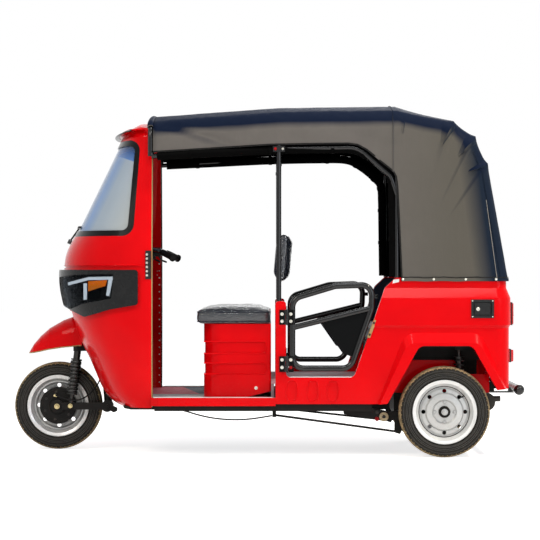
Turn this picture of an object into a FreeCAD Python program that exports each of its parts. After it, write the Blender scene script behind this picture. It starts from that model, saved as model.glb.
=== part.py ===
import FreeCAD, Part
import math
import os

# Three-wheeled auto rickshaw. Millimetres, +Z up, front towards -X, left side towards -Y.
# The origin is on the ground at the bottom centre of the whole vehicle's box.

V = FreeCAD.Vector
AXIS_X, AXIS_Y, AXIS_Z = V(1, 0, 0), V(0, 1, 0), V(0, 0, 1)

# Wheels and their places
tyre_r = 240.0
tyre_w = 135.0
rim_flange_r = 169.0
rim_bead_r = 152.0
front_axle_x = -1135.0
rear_axle_x = 945.0
axle_z = tyre_r
rear_wheel_y = 575.0
shaft_r = 14.0

# Widths and floor
sill_half_w = 612.0
flare_half_w = sill_half_w + 38.0
side_reach = sill_half_w + 88.0
floor_z = 310.0
floor_t = 18.0
passenger_floor_z = 400.0
floor_x0 = -780.0
step_x = 50.0
floor_x1 = 565.0
beam_top_z = floor_z - floor_t
beam_h = 50.0
beam_w = 43.0
running_gap = 0.3
moving_gap = 6.0

# Front cowl: (height, front at the middle, half width)
door_plane_x = -597.0
shell_t = 24.0
shell_power = 2.5
cowl_sections = [
    (256, -790, 535), (330, -880, 547), (450, -938, 553), (600, -1012, 557),
    (760, -1068, 558), (900, -1100, 557), (1003, -1098, 555)]
nose_sections = [
    (1003, -1098, 555), (1062, -1091, 554), (1106, -1075, 553), (1160, -1046, 550)]
screen_top = (1690, -785, 490)
dome_sections = [(1690, -785, 490), (1735, -745, 470), (1765, -690, 440), (1785, -640, 420)]
well_half_w = 240.0
well_x1 = -790.0
well_top_z = 762.0
well_relief = 4.0

# Steering
steer_ground_x = -1190.0
steer_slope = 0.538
head_r = 42.0
column_r = 28.0
link_pivot_x = -862.0
link_y0, link_y1 = -110.0, -85.0
bar_r = 12.0

# Rear tub
panel_t = 30.0
tub_rear_x = 1290.0
tub_corner_r = 70.0
tub_top_z = 945.0
tub_inner_drop = 52.0

# Engine and running gear
engine_x0, engine_x1 = 700.0, 1150.0
engine_z0, engine_z1 = 190.0, 520.0
engine_half_w = 214.7
drum_y0, drum_y1 = 500.0, 560.0
drum_r = 95.0

# Posts, rails and canopy
tube_r = 12.5
post_x = 76.0
post_y = sill_half_w - 32.0
canopy_t = 8.0
canopy_hem_z = 927.0
gate_tube_r = 16.0
gate_y = sill_half_w - 6.0


def steer_x(z):
    return steer_ground_x + steer_slope * z


def mirrored(shape):
    return shape.mirror(V(0, 0, 0), AXIS_Y)


def fuse(shapes):
    shapes = [s for s in shapes if s is not None]
    if len(shapes) == 1:
        return shapes[0]
    return shapes[0].multiFuse(shapes[1:])


def group(shapes):
    return Part.makeCompound([solid for shape in shapes for solid in shape.Solids])


def box(x0, x1, y0, y1, z0, z1):
    return Part.makeBox(x1 - x0, y1 - y0, z1 - z0, V(x0, y0, z0))


def bar(start, end, radius):
    start, end = V(*start), V(*end)
    return Part.makeCylinder(radius, (end - start).Length, start, end - start)


def round_wire(points, radii, closed=True):
    """Straight runs joined by tangent arcs, one radius for each corner."""
    points = [V(*p) for p in points]
    count = len(points)
    if not isinstance(radii, (list, tuple)):
        radii = [radii] * count
    ends = []
    edges = []
    for i, corner in enumerate(points):
        at_end = not closed and i in (0, count - 1)
        if at_end or radii[i] <= 0:
            ends.append((corner, corner))
            edges.append(None)
            continue
        before = (points[i - 1] - corner).normalize()
        after = (points[(i + 1) % count] - corner).normalize()
        half = before.getAngle(after) / 2
        reach = radii[i] / math.tan(half)
        middle = (before + after).normalize() * (radii[i] / math.sin(half) - radii[i])
        first, last = corner + before * reach, corner + after * reach
        ends.append((first, last))
        edges.append(Part.Arc(first, corner + middle, last).toShape())
    chain = []
    for i in range(count):
        if edges[i] is not None:
            chain.append(edges[i])
        if closed or i < count - 1:
            start, end = ends[i][1], ends[(i + 1) % count][0]
            if (end - start).Length > 1e-6:
                chain.append(Part.LineSegment(start, end).toShape())
    return Part.Wire(chain)


def tube(points, radius, bends, closed=False):
    """A round tube along straight runs and tangent arcs."""
    path = round_wire(points, bends, closed)
    edge = path.Edges[0]
    start = edge.valueAt(edge.FirstParameter)
    along = edge.tangentAt(edge.FirstParameter)
    circle = Part.Wire(Part.makeCircle(radius, start, along))
    solid = path.makePipeShell([circle], True, False)
    return solid if solid.ShapeType == "Solid" else Part.makeSolid(solid)


def plate_xz(points, radii, y0, y1):
    wire = round_wire([(x, y0, z) for x, z in points], radii)
    return Part.Face(wire).extrude(V(0, y1 - y0, 0))


def plate_xy(points, radii, z0, z1):
    wire = round_wire([(x, y, z0) for x, y in points], radii)
    return Part.Face(wire).extrude(V(0, 0, z1 - z0))


def plate_yz(points, radii, x0, x1):
    wire = round_wire([(x0, y, z) for y, z in points], radii)
    return Part.Face(wire).extrude(V(x1 - x0, 0, 0))


def turned(profile, x, y, z):
    """A solid of revolution about the line along Y through x, z. Profile is (radius, y offset)."""
    wire = Part.makePolygon([V(x + r, y + d, z) for r, d in profile + profile[:1]])
    return Part.Face(wire).revolve(V(x, 0, z), AXIS_Y, 360)


def soft_box(x0, x1, y0, y1, z0, z1, radius):
    """A plain padded block with rounded upright and top edges."""
    block = box(x0, x1, y0, y1, z0, z1)
    edges = [e for e in block.Edges if min(v.Z for v in e.Vertexes) > z0 + 1 or
             abs(e.Vertexes[0].Z - e.Vertexes[1].Z) > 1]
    return block.makeFillet(radius, edges)


def slanted_block(x0, x1, half_w, z0, z1, lean, radius):
    """A back pad whose top stands further back by lean."""
    wire = round_wire([(x0, -half_w, z0), (x1, -half_w, z0),
                       (x1 + lean, -half_w, z1), (x0 + lean, -half_w, z1)], radius)
    return Part.Face(wire).extrude(V(0, 2 * half_w, 0))


# Front shell
def nose_wire(z, front_x, half_w, inset=0.0, back=0.0):
    """One level of the front body: a squared-off bow, straight across behind the doors."""
    length = door_plane_x - front_x - inset
    width = half_w - inset
    points = []
    for step in range(13):
        angle = math.radians(-90 + 15 * step)
        side = math.copysign(abs(math.sin(angle)) ** (2 / shell_power), math.sin(angle))
        points.append(V(door_plane_x - length * abs(math.cos(angle)) ** (2 / shell_power), width * side, z))
    points[0], points[-1] = V(door_plane_x, -width, z), V(door_plane_x, width, z)
    curve = Part.BSplineCurve()
    curve.interpolate(points)
    edges = [curve.toShape()]
    if back > 0:
        far = [V(door_plane_x + back, width, z), V(door_plane_x + back, -width, z)]
        edges += [Part.makeLine(points[-1], far[0]), Part.makeLine(far[0], far[1]),
                  Part.makeLine(far[1], points[0])]
    else:
        edges.append(Part.makeLine(points[-1], points[0]))
    return Part.Wire(edges)


def nose_loft(sections, inset=0.0, back=0.0, ruled=False):
    wires = [nose_wire(z, x, w, inset, back) for z, x, w in sections]
    return Part.makeLoft(wires, True, ruled)


cowl_solid = nose_loft(cowl_sections)
cowl_hollow = nose_loft(cowl_sections, shell_t, 60.0)
nose_solid = nose_loft(nose_sections)
screen_sections = [nose_sections[-1], screen_top]


window = [(-1300, 1165), (-694, 1165), (-657, 1676), (-1300, 1676)]
window_radii = [0, 66, 58, 0]
gasket_w = 30.0
glass_t = 6.0


def window_prism(shrink=0.0):
    (x0, z0), (x1, _), (x2, z1), _ = window
    points = [(x0, z0 + shrink), (x1 - shrink, z0 + shrink), (x2 - shrink, z1 - shrink), (x0, z1 - shrink)]
    radii = [0, window_radii[1] - shrink, window_radii[2] - shrink, 0]
    return plate_xz(points, radii, -sill_half_w, sill_half_w)


bracket_z0, bracket_z1 = 937.0, 1087.0
bracket_holes = [bracket_z0 + 20 + 22 * i for i in range(6)]


def bracket_bores(levels, end_y):
    return fuse([bar((-620, -570, z), (-620, -end_y, z), 3.5) for z in levels])


def make_lower_cowl():
    shell = cowl_solid.cut(cowl_hollow)
    well = box(-1300, well_x1 + well_relief, -well_half_w, well_half_w, 200, well_top_z)
    seam_z, seam_x, seam_w = cowl_sections[-1]
    outer = Part.Face(nose_wire(seam_z - 6, seam_x - 20, seam_w + 20)).extrude(V(0, 0, 6))
    inner = Part.Face(nose_wire(seam_z - 6, seam_x, seam_w, 5.0, 60.0)).extrude(V(0, 0, 6))
    screws = bracket_bores(bracket_holes[:2], 520)
    return shell.cut(well).cut(outer.cut(inner)).cut(screws).cut(mirrored(screws))


def make_windscreen_frame():
    nose = nose_solid.cut(nose_loft(nose_sections, shell_t, 60.0))
    pillars = nose_loft(screen_sections, 0, 0, True).cut(nose_loft(screen_sections, shell_t, 60.0, True))
    crown_z, crown_x, crown_w = dome_sections[-1]
    hollow = dome_sections[:-2] + [(crown_z - 1, crown_x - 12, crown_w + 8)]
    dome = nose_loft(dome_sections).common(under_bead(0.0))
    dome = dome.cut(nose_loft(hollow, shell_t, 60.0).common(under_bead(shell_t)))
    return fuse([nose, pillars, dome]).cut(window_prism())


def under_bead(inset):
    """The crowned space under the canopy's front bead, on which the header's top is rounded."""
    inward = canopy_t + 2 * bead_r + 0.5 + running_gap + inset
    face = Part.Face(hood_section(roof_stations[0], 900, inward))
    face.translate(V(-700, 0, 0))
    return face.extrude(V(900, 0, 0))


def stretched(sections, extra):
    """The same straight-sided form, carried on by extra above and below."""
    (z0, x0, w0), (z1, x1, w1) = sections
    share = extra / (z1 - z0)
    dx, dw = (x1 - x0) * share, (w1 - w0) * share
    return [(z0 - extra, x0 - dx, w0 - dw), (z1 + extra, x1 + dx, w1 + dw)]


def screen_slice(outer, inner, region):
    sections = stretched(screen_sections, 20.0)
    skin = nose_loft(sections, outer, 0, True).cut(nose_loft(sections, inner, 60.0, True))
    return skin.common(region)


def make_glass():
    return screen_slice(8.0, 8.0 + glass_t, window_prism(gasket_w))


def make_gasket():
    return screen_slice(0.0, shell_t, window_prism()).cut(window_prism(gasket_w))


brim_t = 8.0
brim_reach = 50.0


def make_visor():
    """The brim over the windscreen, drooping to its tip."""
    level = dome_sections[1]
    wires_out = nose_wire(level[0], level[1], level[2], -brim_reach)
    slab = Part.Face(wires_out).extrude(V(0, 0, 90))
    slab.translate(V(0, 0, -60))
    top = plate_xz([(-590, 1737), (-720, 1733), (-900, 1688), (-900, 1680), (-720, 1725), (-590, 1729)],
                   0, -sill_half_w, sill_half_w)
    body = nose_loft(dome_sections)
    beside_bead = fuse([box(-640, -590, y0, y1, 1650, 1800) for y0, y1 in ((-600, -450), (450, 600))])
    return slab.common(top).cut(body).cut(beside_bead)


band_out = 26.0
band_outline = [(-667, 986), (-667, 802), (-818, 776), (-897, 752), (-960, 735), (-1108, 798),
                (-1170, 820), (-1170, 986)]
band_radii = [18, 18, 0, 30, 20, 30, 0, 0]
lens_outline = [(-1170, 938), (-1016, 960), (-795, 964), (-809, 834), (-972, 804), (-1036, 776),
                (-1170, 796)]
lens_radii = [0, 25, 12, 14, 20, 12, 0]
lens_y = 170.0
lens_recess = 14.0
lens_t = 5.0


def band_slice(outer, inner, outline, radii):
    upper = cowl_sections[3:]
    within = cowl_solid if inner == 0 else nose_loft(upper, -inner, 60.0)
    return nose_loft(upper, -outer).common(plate_xz(outline, radii, -700, 700)).cut(within)


def side_blocks():
    return fuse([box(-1300, -500, -700, -lens_y, 700, 1003), box(-1300, -500, lens_y, 700, 700, 1003)])


def make_headlamp_band():
    band = band_slice(band_out, 0.0, band_outline, band_radii)
    pocket = band_slice(band_out + 10, band_out - lens_recess, lens_outline, lens_radii)
    grille = band_slice(band_out + 10, band_out - 10, grille_outline, 10).common(
        box(-1300, -500, 10 - lens_y, lens_y - 10, 700, 1003))
    return band.cut(pocket.common(side_blocks())).cut(grille)


grille_outline = [(-1170, 830), (-1000, 830), (-1000, 952), (-1170, 952)]


def make_lenses():
    cover = band_slice(band_out - 3, band_out - 3 - lens_t, lens_outline, lens_radii)
    return group([cover.common(side_blocks())])


# Inside the front body
def make_wheel_box():
    """The box that closes the wheel well inside the cowl, with the steering head tube through it."""
    wall = 10.0
    outer = box(-1105, well_x1 + wall, -well_half_w - wall, well_half_w + wall, 256, well_top_z + wall)
    inner = box(-1300, well_x1, -well_half_w, well_half_w, 200, well_top_z)
    shell = outer.cut(inner).common(cowl_hollow_tight)
    z0, z1 = head_z0, head_z1
    low, high = (steer_x(z0), 0, z0), (steer_x(z1), 0, z1)
    tube_out = bar(low, high, head_r)
    whole = fuse([shell, tube_out] + foot_brake())
    return whole.cut(bar((steer_x(z0 - 30), 0, z0 - 30), (steer_x(z1 + 30), 0, z1 + 30),
                         column_r + running_gap))


head_z0, head_z1 = 670.0, 862.0
cowl_hollow_tight = nose_loft(cowl_sections, shell_t + running_gap, 60.0)
dash_z0, dash_z1 = 1105.0, 1125.0
dash_x1 = -820.0


def make_dashboard():
    inside = nose_loft(nose_sections, shell_t + running_gap, 60.0)
    shelf = box(-1200, dash_x1, -700, 700, dash_z0, dash_z1)
    drop = box(dash_x1 - 16, dash_x1, -700, 700, 1010, dash_z0 + 5)
    panel = shelf.fuse(drop).common(inside)
    pod = plate_xz([(-930, dash_z1 - 2), (-822, dash_z1 - 2), (-822, dash_z1 + 50), (-880, dash_z1 + 62),
                    (-930, dash_z1 + 30)], [0, 0, 12, 18, 14], -130, 130)
    return panel.fuse(pod)


def foot_brake():
    foot = box(-782, -742, 208, 252, floor_z + running_gap, floor_z + 60)
    arm = bar((-757, 230, floor_z + 45), (-700, 230, 430), 8)
    pad = box(-725, -670, 200, 260, 428, 440)
    return [foot, arm, pad]


def make_mirror_brackets():
    """A perforated strip on each rear edge of the cowl, for a door or a mirror."""
    strip = box(-628, -612, -561, -550, bracket_z0, bracket_z1)
    plate = box(-628, -598, -559.5, -558.3, bracket_z0, bracket_z1)
    holes = bracket_bores(bracket_holes, 550)
    side = strip.fuse(plate).cut(holes).cut(cowl_solid).cut(nose_solid)
    return group([side, mirrored(side)])


wiper_z = 1134.0
blade_z = 1217.0


def make_wiper():
    """Spindle under the screen, a short arm, and a blade that follows the glass."""
    stem = bar((-1040, 60, wiper_z - 12), (-1078, 60, wiper_z + 6), 8)
    cap = bar((-1072, 60, wiper_z + 3), (-1090, 60, wiper_z + 11), 13)
    arm = bar((-1082, 60, wiper_z + 7), (-1028, 60, blade_z), 5)
    region = box(-1100, -900, -190, 215, blade_z - 6, blade_z + 6)
    blade = screen_slice(-9.0, 7.7, region)
    return fuse([stem.cut(nose_solid), cap, arm, blade])


# Floor and chassis
def make_floor():
    inside = nose_loft(cowl_sections[:4], shell_t + running_gap, 700.0)
    front = box(floor_x0, door_plane_x, -535, 535, beam_top_z, floor_z).common(inside)
    half = sill_half_w - 22 - running_gap
    middle = box(door_plane_x, step_x, -half, half, beam_top_z, floor_z)
    riser = box(step_x - 15, step_x, -500, 500, floor_z, passenger_floor_z)
    half = sill_half_w - tub_inner_drop - 1
    rear = box(step_x - 15, floor_x1, -half, half, passenger_floor_z - 15, passenger_floor_z)
    low = box(step_x, 60, -half, half, beam_top_z, floor_z)
    return fuse([front, middle, low, riser, rear])


sill_x1 = 58.0


def make_side_sills():
    depth = 22.0
    taper = 40.0
    z0 = 270.0
    points = [(door_plane_x, sill_half_w - depth), (sill_x1, sill_half_w - depth),
              (sill_x1, sill_half_w), (door_plane_x + taper, sill_half_w), (door_plane_x, sill_half_w - 15)]
    side = plate_xy(points, 0, z0, floor_z + 4)
    return group([side, mirrored(side)])


kick_x0, kick_x1 = 520.0, tub_rear_x - 50.0
arm_pivot_x, arm_pivot_z = 632.0, 208.0
arm_y0, arm_y1 = 450.0, 490.0
arm_pin_r = 9.0
spine_x0 = -740.0


def make_chassis():
    beam_y0 = 538.0
    z0, z1 = beam_top_z - beam_h, beam_top_z
    parts = []
    for side in (-1, 1):
        y0, y1 = sorted((side * beam_y0, side * (beam_y0 + beam_w)))
        parts.append(box(-580, floor_x1, y0, y1, z0, z1))
        y0, y1 = sorted((side * 125, side * 175))
        parts.append(box(spine_x0, floor_x1, y0, y1, z0, z1))
        y0, y1 = sorted((side * 215, side * 265))
        rail = plate_xz([(kick_x0, z0), (kick_x0 + 50, z0), (kick_x0 + 130, 330), (kick_x1, 330),
                         (kick_x1, 380), (kick_x0, 380)], 0, y0, y1)
        parts.append(rail)
        y0, y1 = sorted((side * 440, side * 500))
        hanger = plate_xz([(420, z0 + 20), (590, z0 + 5), (650, 236), (655, 208), (632, 184), (600, 190),
                           (420, 222)], [0, 0, 22, 22, 22, 10, 0], y0, y1)
        slot_y0, slot_y1 = sorted((side * (arm_y0 - running_gap), side * (arm_y1 + running_gap)))
        parts.append(hanger.cut(box(600, 700, slot_y0, slot_y1, 150, 260)))
        parts.append(bar((arm_pivot_x, side * 445, arm_pivot_z), (arm_pivot_x, side * 498, arm_pivot_z),
                         arm_pin_r))
        y0, y1 = sorted((side * 265, side * 500))
        parts.append(box(530, 570, y0, y1, z0, z1))
        y0, y1 = sorted((side * 265, side * 392))
        parts.append(box(960, 1010, y0, y1, 340, 370))
    for x in (-580, -480, 30, 400):
        parts.append(box(x, x + 40, -beam_y0, beam_y0, z0, z1))
    parts.append(box(kick_x0 - 6, kick_x0 + 34, -265, 265, z0, z1))
    parts.append(box(kick_x1 - 40, kick_x1, -265, 265, 330, 370))
    parts.append(box(kick_x1 - 5, tub_rear_x - panel_t - running_gap, -265, -215, 345, 375))
    parts.append(box(kick_x1 - 5, tub_rear_x - panel_t - running_gap, 215, 265, 345, 375))
    return fuse(parts)


# Driver's place
seat_x0, seat_x1 = -324.0, step_x - 15.0 - running_gap
seat_half_w = 500.0
seat_top_z = 700.0
cushion_t = 86.0


def make_seat_box():
    """A hollow locker under the driver's seat, with two sunk bands round its front."""
    wall = 12.0
    corner = 110.0
    plan = [(seat_x0, -seat_half_w), (seat_x1, -seat_half_w), (seat_x1, seat_half_w), (seat_x0, seat_half_w)]
    radii = [corner, 12, 12, corner]
    body = plate_xy(plan, radii, floor_z, seat_top_z)
    inner_plan = [(seat_x0 + wall, -seat_half_w + wall), (seat_x1 - wall, -seat_half_w + wall),
                  (seat_x1 - wall, seat_half_w - wall), (seat_x0 + wall, seat_half_w - wall)]
    hollow = plate_xy(inner_plan, [corner - wall, 4, 4, corner - wall], floor_z - 5, seat_top_z - wall)
    body = body.cut(hollow)
    sunk = 6.0
    core_plan = [(seat_x0 + sunk, -seat_half_w + sunk), (seat_x1 + 50, -seat_half_w + sunk),
                 (seat_x1 + 50, seat_half_w - sunk), (seat_x0 + sunk, seat_half_w - sunk)]
    for z0, z1 in ((434, 492), (543, 606)):
        core = plate_xy(core_plan, [corner - sunk, 4, 4, corner - sunk], z0, z1)
        band = box(seat_x0 - 10, 6, -seat_half_w - 10, seat_half_w + 10, z0, z1).cut(core)
        body = body.cut(band)
    kick = plate_xz([(-103, floor_z - 1), (70, floor_z - 1), (70, 352), (55, 349)], 0, -700, 700)
    return body.cut(kick)


def make_driver_cushion():
    z0 = seat_top_z + running_gap
    return soft_box(-361, seat_x1, -520, 520, z0, z0 + cushion_t, 28)


pad_half_w = 420.0
pad_z0, pad_z1 = 917.0, 1180.0
cross_bar_z = 1050.0


def make_driver_backrest():
    lean = 24.0
    pad = slanted_block(50, 124, pad_half_w, pad_z0, pad_z1, lean, 26)
    bore = bar((post_x + 12, -pad_half_w - 5, cross_bar_z), (post_x + 12, pad_half_w + 5, cross_bar_z),
               tube_r + running_gap)
    return pad.cut(bore)


# Side hem of the canopy as (x, height), from the windscreen back and down to the tub
side_hem = [(-640, 1601), (30, 1641), (490, 1648), (694, 1490), (719, 927)]
hem_bends = [0, 2500, 120, 40, 0]
rail_drop = 18.0
rail_back = 22.0


def rail_z(x):
    """Height of the roof's side rail, just under the canopy's side hem."""
    for (x0, z0), (x1, z1) in zip(side_hem, side_hem[1:]):
        if x <= x1:
            return z0 + (z1 - z0) * (x - x0) / (x1 - x0) - rail_drop
    return side_hem[-1][1]


def seat_posts():
    """The two posts beside the seat with the bar that carries the back pad."""
    foot_z = 821.0
    posts = [bar((post_x, side * post_y, foot_z), (post_x, side * post_y, rail_z(post_x) + 5), tube_r)
             for side in (-1, 1)]
    inner_y = post_y - 90
    cross = tube([(post_x, -post_y, cross_bar_z), (post_x + 12, -inner_y, cross_bar_z),
                  (post_x + 12, inner_y, cross_bar_z), (post_x, post_y, cross_bar_z)], tube_r,
                 [0, 150, 150, 0])
    return posts + [cross]


# Rear tub
tub_x0 = 58.0
sill_top_z = 421.0
stub_top_z = 821.0
sill_z = 281.0
panel_lip = 8.0
tub_profile = [(0, sill_z), (0, 681), (panel_lip, 695), (panel_lip, 838), (-14, 890), (-14, tub_top_z)]


def tub_band():
    """The tub wall's section as (offset from the nominal side, height)."""
    return tub_profile + [(-panel_t, tub_top_z), (-panel_t, sill_z)]


def tub_side():
    """The right side with its rounded rear corner."""
    straight_x1 = tub_rear_x - tub_corner_r
    section = [V(tub_x0, sill_half_w + d, z) for d, z in tub_band()]
    face = Part.Face(Part.makePolygon(section + section[:1]))
    side = face.extrude(V(straight_x1 - tub_x0, 0, 0))
    face.translate(V(straight_x1 - tub_x0, 0, 0))
    corner = face.revolve(V(straight_x1, sill_half_w - tub_corner_r, 0), V(0, 0, -1), 90)
    return side.fuse(corner)


def arch_prism():
    """The wheel arch: two slanted sides under a flat top."""
    points = [(rear_axle_x - 348, 200), (rear_axle_x - 133, 587), (rear_axle_x + 145, 587),
              (rear_axle_x + 364, 200)]
    return plate_xz(points, [0, 45, 45, 0], 380, side_reach)


def make_quarter():
    rear = tub_rear_x + 40
    outline = [(tub_x0, sill_z), (tub_x0, stub_top_z), (113, stub_top_z), (113, sill_top_z),
               (470, sill_top_z), (632, 891), (690, tub_top_z), (rear, tub_top_z), (rear, 361),
               (tub_rear_x - 140, 361), (tub_rear_x - 140, sill_z)]
    radii = [0, 16, 16, 25, 35, 40, 0, 0, 0, 0, 0]
    stub = box(tub_x0, 113, sill_half_w - tub_inner_drop, sill_half_w - 2, beam_top_z + running_gap,
               stub_top_z)
    keep = plate_xz(outline, radii, 380, side_reach)
    skin = tub_side().fuse(stub).common(keep)
    x = rear_axle_x
    y = sill_half_w - 6
    base = round_wire([(x - 353, y, sill_z), (x - 208, y, 662), (x + 188, y, 662), (x + 327, y, 361)],
                      [0, 80, 80, 0])
    y = flare_half_w
    lip = round_wire([(x - 341, y, sill_z), (x - 193, y, 605), (x + 181, y, 605), (x + 317, y, 361)],
                     [0, 65, 65, 0])
    flare = Part.makeLoft([base, lip], True, True)
    shell = skin.fuse(flare).cut(arch_prism())
    for x in (144, 255, 360):
        oval = plate_xz([(x - 26, 298), (x - 26, 403), (x + 26, 403), (x + 26, 298)], 25.9,
                        sill_half_w - 5, side_reach)
        shell = shell.cut(oval)
    return shell


# Fuel filler in the left quarter
fuel_x0, fuel_x1 = tub_rear_x - 206.0, tub_rear_x - 86.0
fuel_z0, fuel_z1 = 733.0, 830.0
fuel_rim = 13.0
fuel_flange_t = 4.0
fuel_depth = 54.0
lip_y = sill_half_w + panel_lip
flap_hinge_x = fuel_x1 - 20.0
flap_hinge_y = -(lip_y - 1.0)
flap_pin_r = 2.0


def fuel_sleeve():
    inset = 6.0
    return box(fuel_x0 + inset, fuel_x1 - inset, -side_reach, 100 - sill_half_w, fuel_z0 + inset,
               fuel_z1 - inset)


def make_fuel_frame():
    flange = box(fuel_x0, fuel_x1, -(lip_y + fuel_flange_t), -lip_y, fuel_z0, fuel_z1)
    back_y = fuel_depth - lip_y
    body = fuel_sleeve().common(box(fuel_x0, fuel_x1, -lip_y, back_y, fuel_z0, fuel_z1))
    pocket = box(fuel_x0 + fuel_rim, fuel_x1 - fuel_rim, -side_reach, back_y - 6, fuel_z0 + fuel_rim,
                 fuel_z1 - fuel_rim)
    middle_z = (fuel_z0 + fuel_z1) / 2
    cap = bar((fuel_x0 + 56, back_y - 5, middle_z), (fuel_x0 + 56, back_y - 32, middle_z), 24)
    pin_hole = bar((flap_hinge_x, flap_hinge_y, fuel_z0 + 8), (flap_hinge_x, flap_hinge_y, fuel_z1 - 8),
                   flap_pin_r + running_gap)
    return flange.fuse(body).cut(pocket).fuse(cap).cut(pin_hole)


def make_fuel_flap():
    gap = 5.0
    z0, z1 = fuel_z0 + fuel_rim + gap, fuel_z1 - fuel_rim - gap
    leaf = box(fuel_x0 + fuel_rim + gap, flap_hinge_x, -(lip_y + 0.5), -(lip_y - 2.5), z0, z1)
    knuckle = bar((flap_hinge_x, flap_hinge_y, z0 + 4), (flap_hinge_x, flap_hinge_y, z1 - 4), 3.4)
    pin = bar((flap_hinge_x, flap_hinge_y, fuel_z0 + 9), (flap_hinge_x, flap_hinge_y, fuel_z1 - 9), flap_pin_r)
    lock = bar((fuel_x0 + 36, -(lip_y - 1), 780), (fuel_x0 + 36, -(lip_y + 4), 780), 13)
    return fuse([leaf, knuckle, pin, lock])


def make_quarter_left():
    return mirrored(make_quarter()).cut(fuel_sleeve())


def make_quarter_right():
    return make_quarter()


# Rear panel, tailgate and what is on them
gate_half_w = 400.0
gate_z0, gate_z1 = 400.0, 830.0
rear_face_x = tub_rear_x + panel_lip
lid_hinge_x, lid_hinge_z = rear_face_x + 7.0, gate_z1 + 13.0
lid_pin_r = 3.5
lid_knuckle_r = 6.5
lid_hinge_ys = (-250.0, 250.0)


def lid_knuckles(y_from, y_to, radius):
    return [bar((lid_hinge_x, y + y_from, lid_hinge_z), (lid_hinge_x, y + y_to, lid_hinge_z), radius)
            for y in lid_hinge_ys]


def make_rear_panel():
    half = sill_half_w - tub_corner_r
    section = [V(tub_rear_x + d, -half, z) for d, z in tub_band()]
    wall = Part.Face(Part.makePolygon(section + section[:1])).extrude(V(0, 2 * half, 0))
    x0, x1 = tub_rear_x - 90, tub_rear_x + 110
    keep = box(x0, x1, -half, half, 361, tub_top_z)
    clear = moving_gap
    hole = box(x0, x1, -(gate_half_w + clear), gate_half_w + clear, gate_z0 - clear, gate_z1 + clear)
    wall = wall.common(keep).cut(hole)
    lugs = []
    for y in lid_hinge_ys:
        for side in (-1, 1):
            y0, y1 = sorted((y + side * 20.5, y + side * 36))
            lugs.append(bar((lid_hinge_x, y0, lid_hinge_z), (lid_hinge_x, y1, lid_hinge_z), lid_knuckle_r))
            lugs.append(plate_xz([(rear_face_x - 12, gate_z1 + 8), (lid_hinge_x, lid_hinge_z - 3),
                                  (lid_hinge_x, lid_hinge_z + 6), (rear_face_x - 12, gate_z1 + 32)],
                                 0, y0, y1))
    bores = lid_knuckles(-40, 40, lid_pin_r + running_gap)
    return fuse([wall] + lugs).cut(fuse(bores))


def make_tailgate():
    skin = box(tub_rear_x - 16, rear_face_x, -gate_half_w, gate_half_w, gate_z0, gate_z1)
    skin = skin.makeFillet(5, [e for e in skin.Edges if min(v.X for v in e.Vertexes) > rear_face_x - 1])
    parts = [skin] + lid_knuckles(-20, 20, lid_knuckle_r) + lid_knuckles(-35, 35, lid_pin_r)
    for y in lid_hinge_ys:
        parts.append(plate_xz([(rear_face_x - 1, gate_z1 - 30), (rear_face_x + 4, gate_z1 - 30),
                               (lid_hinge_x + 4, lid_hinge_z), (lid_hinge_x - 3, lid_hinge_z - 4),
                               (rear_face_x - 1, gate_z1 - 4)], 0, y - 20, y + 20))
    grip_z = 470.0
    grip = tube([(rear_face_x - 2, -70, grip_z), (rear_face_x + 30, -70, grip_z),
                 (rear_face_x + 30, 70, grip_z), (rear_face_x - 2, 70, grip_z)], 7, [0, 16, 16, 0])
    plate_half_w = 120.0
    plate = box(rear_face_x - 1, rear_face_x + 3, -plate_half_w, plate_half_w, 560, 680)
    return fuse(parts + [grip, plate])


def make_tail_lamps():
    face_x = rear_face_x + 18
    lamps = []
    for x0, z0, z1 in ((rear_face_x, 697, 811), (tub_rear_x, 501, 564)):
        block = box(x0, face_x, gate_half_w + 40, sill_half_w - 77, z0, z1)
        block = block.makeFillet(8, [e for e in block.Edges if min(v.X for v in e.Vertexes) > face_x - 1])
        lamps.append(block)
    return group(lamps + [mirrored(block) for block in lamps])


bumper_x, bumper_z = tub_rear_x + 57.0, 351.0
bumper_r = 23.0


def make_bumper():
    half = 517.0
    rail = bar((bumper_x, -half, bumper_z), (bumper_x, half, bumper_z), bumper_r)
    ends = [Part.makeSphere(bumper_r + 5, V(bumper_x, side * half, bumper_z)) for side in (-1, 1)]
    stays = []
    for side in (-1, 1):
        y0, y1 = sorted((side * 222, side * 258))
        stays.append(box(kick_x1 - 60, bumper_x, y0, y1, 322, 330))
        stays.append(box(bumper_x - 30, bumper_x, y0, y1, 322, bumper_z))
    return fuse([rail] + ends + stays)


# Rear seat and what is under it
deck_z = 590.0
deck_half_w = sill_half_w - 72.0
housing_y0 = 392.0


def make_wheel_housings():
    wall = plate_xz([(650, 330), (650, 504), (1024, 504), (1077, 429), (1200, 429), (1200, 330)], 0,
                    housing_y0, housing_y0 + 12)
    top = box(650, 1024, housing_y0 - 22, housing_y0, 500, 504)
    side = wall.fuse(top)
    return group([side, mirrored(side)])


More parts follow.
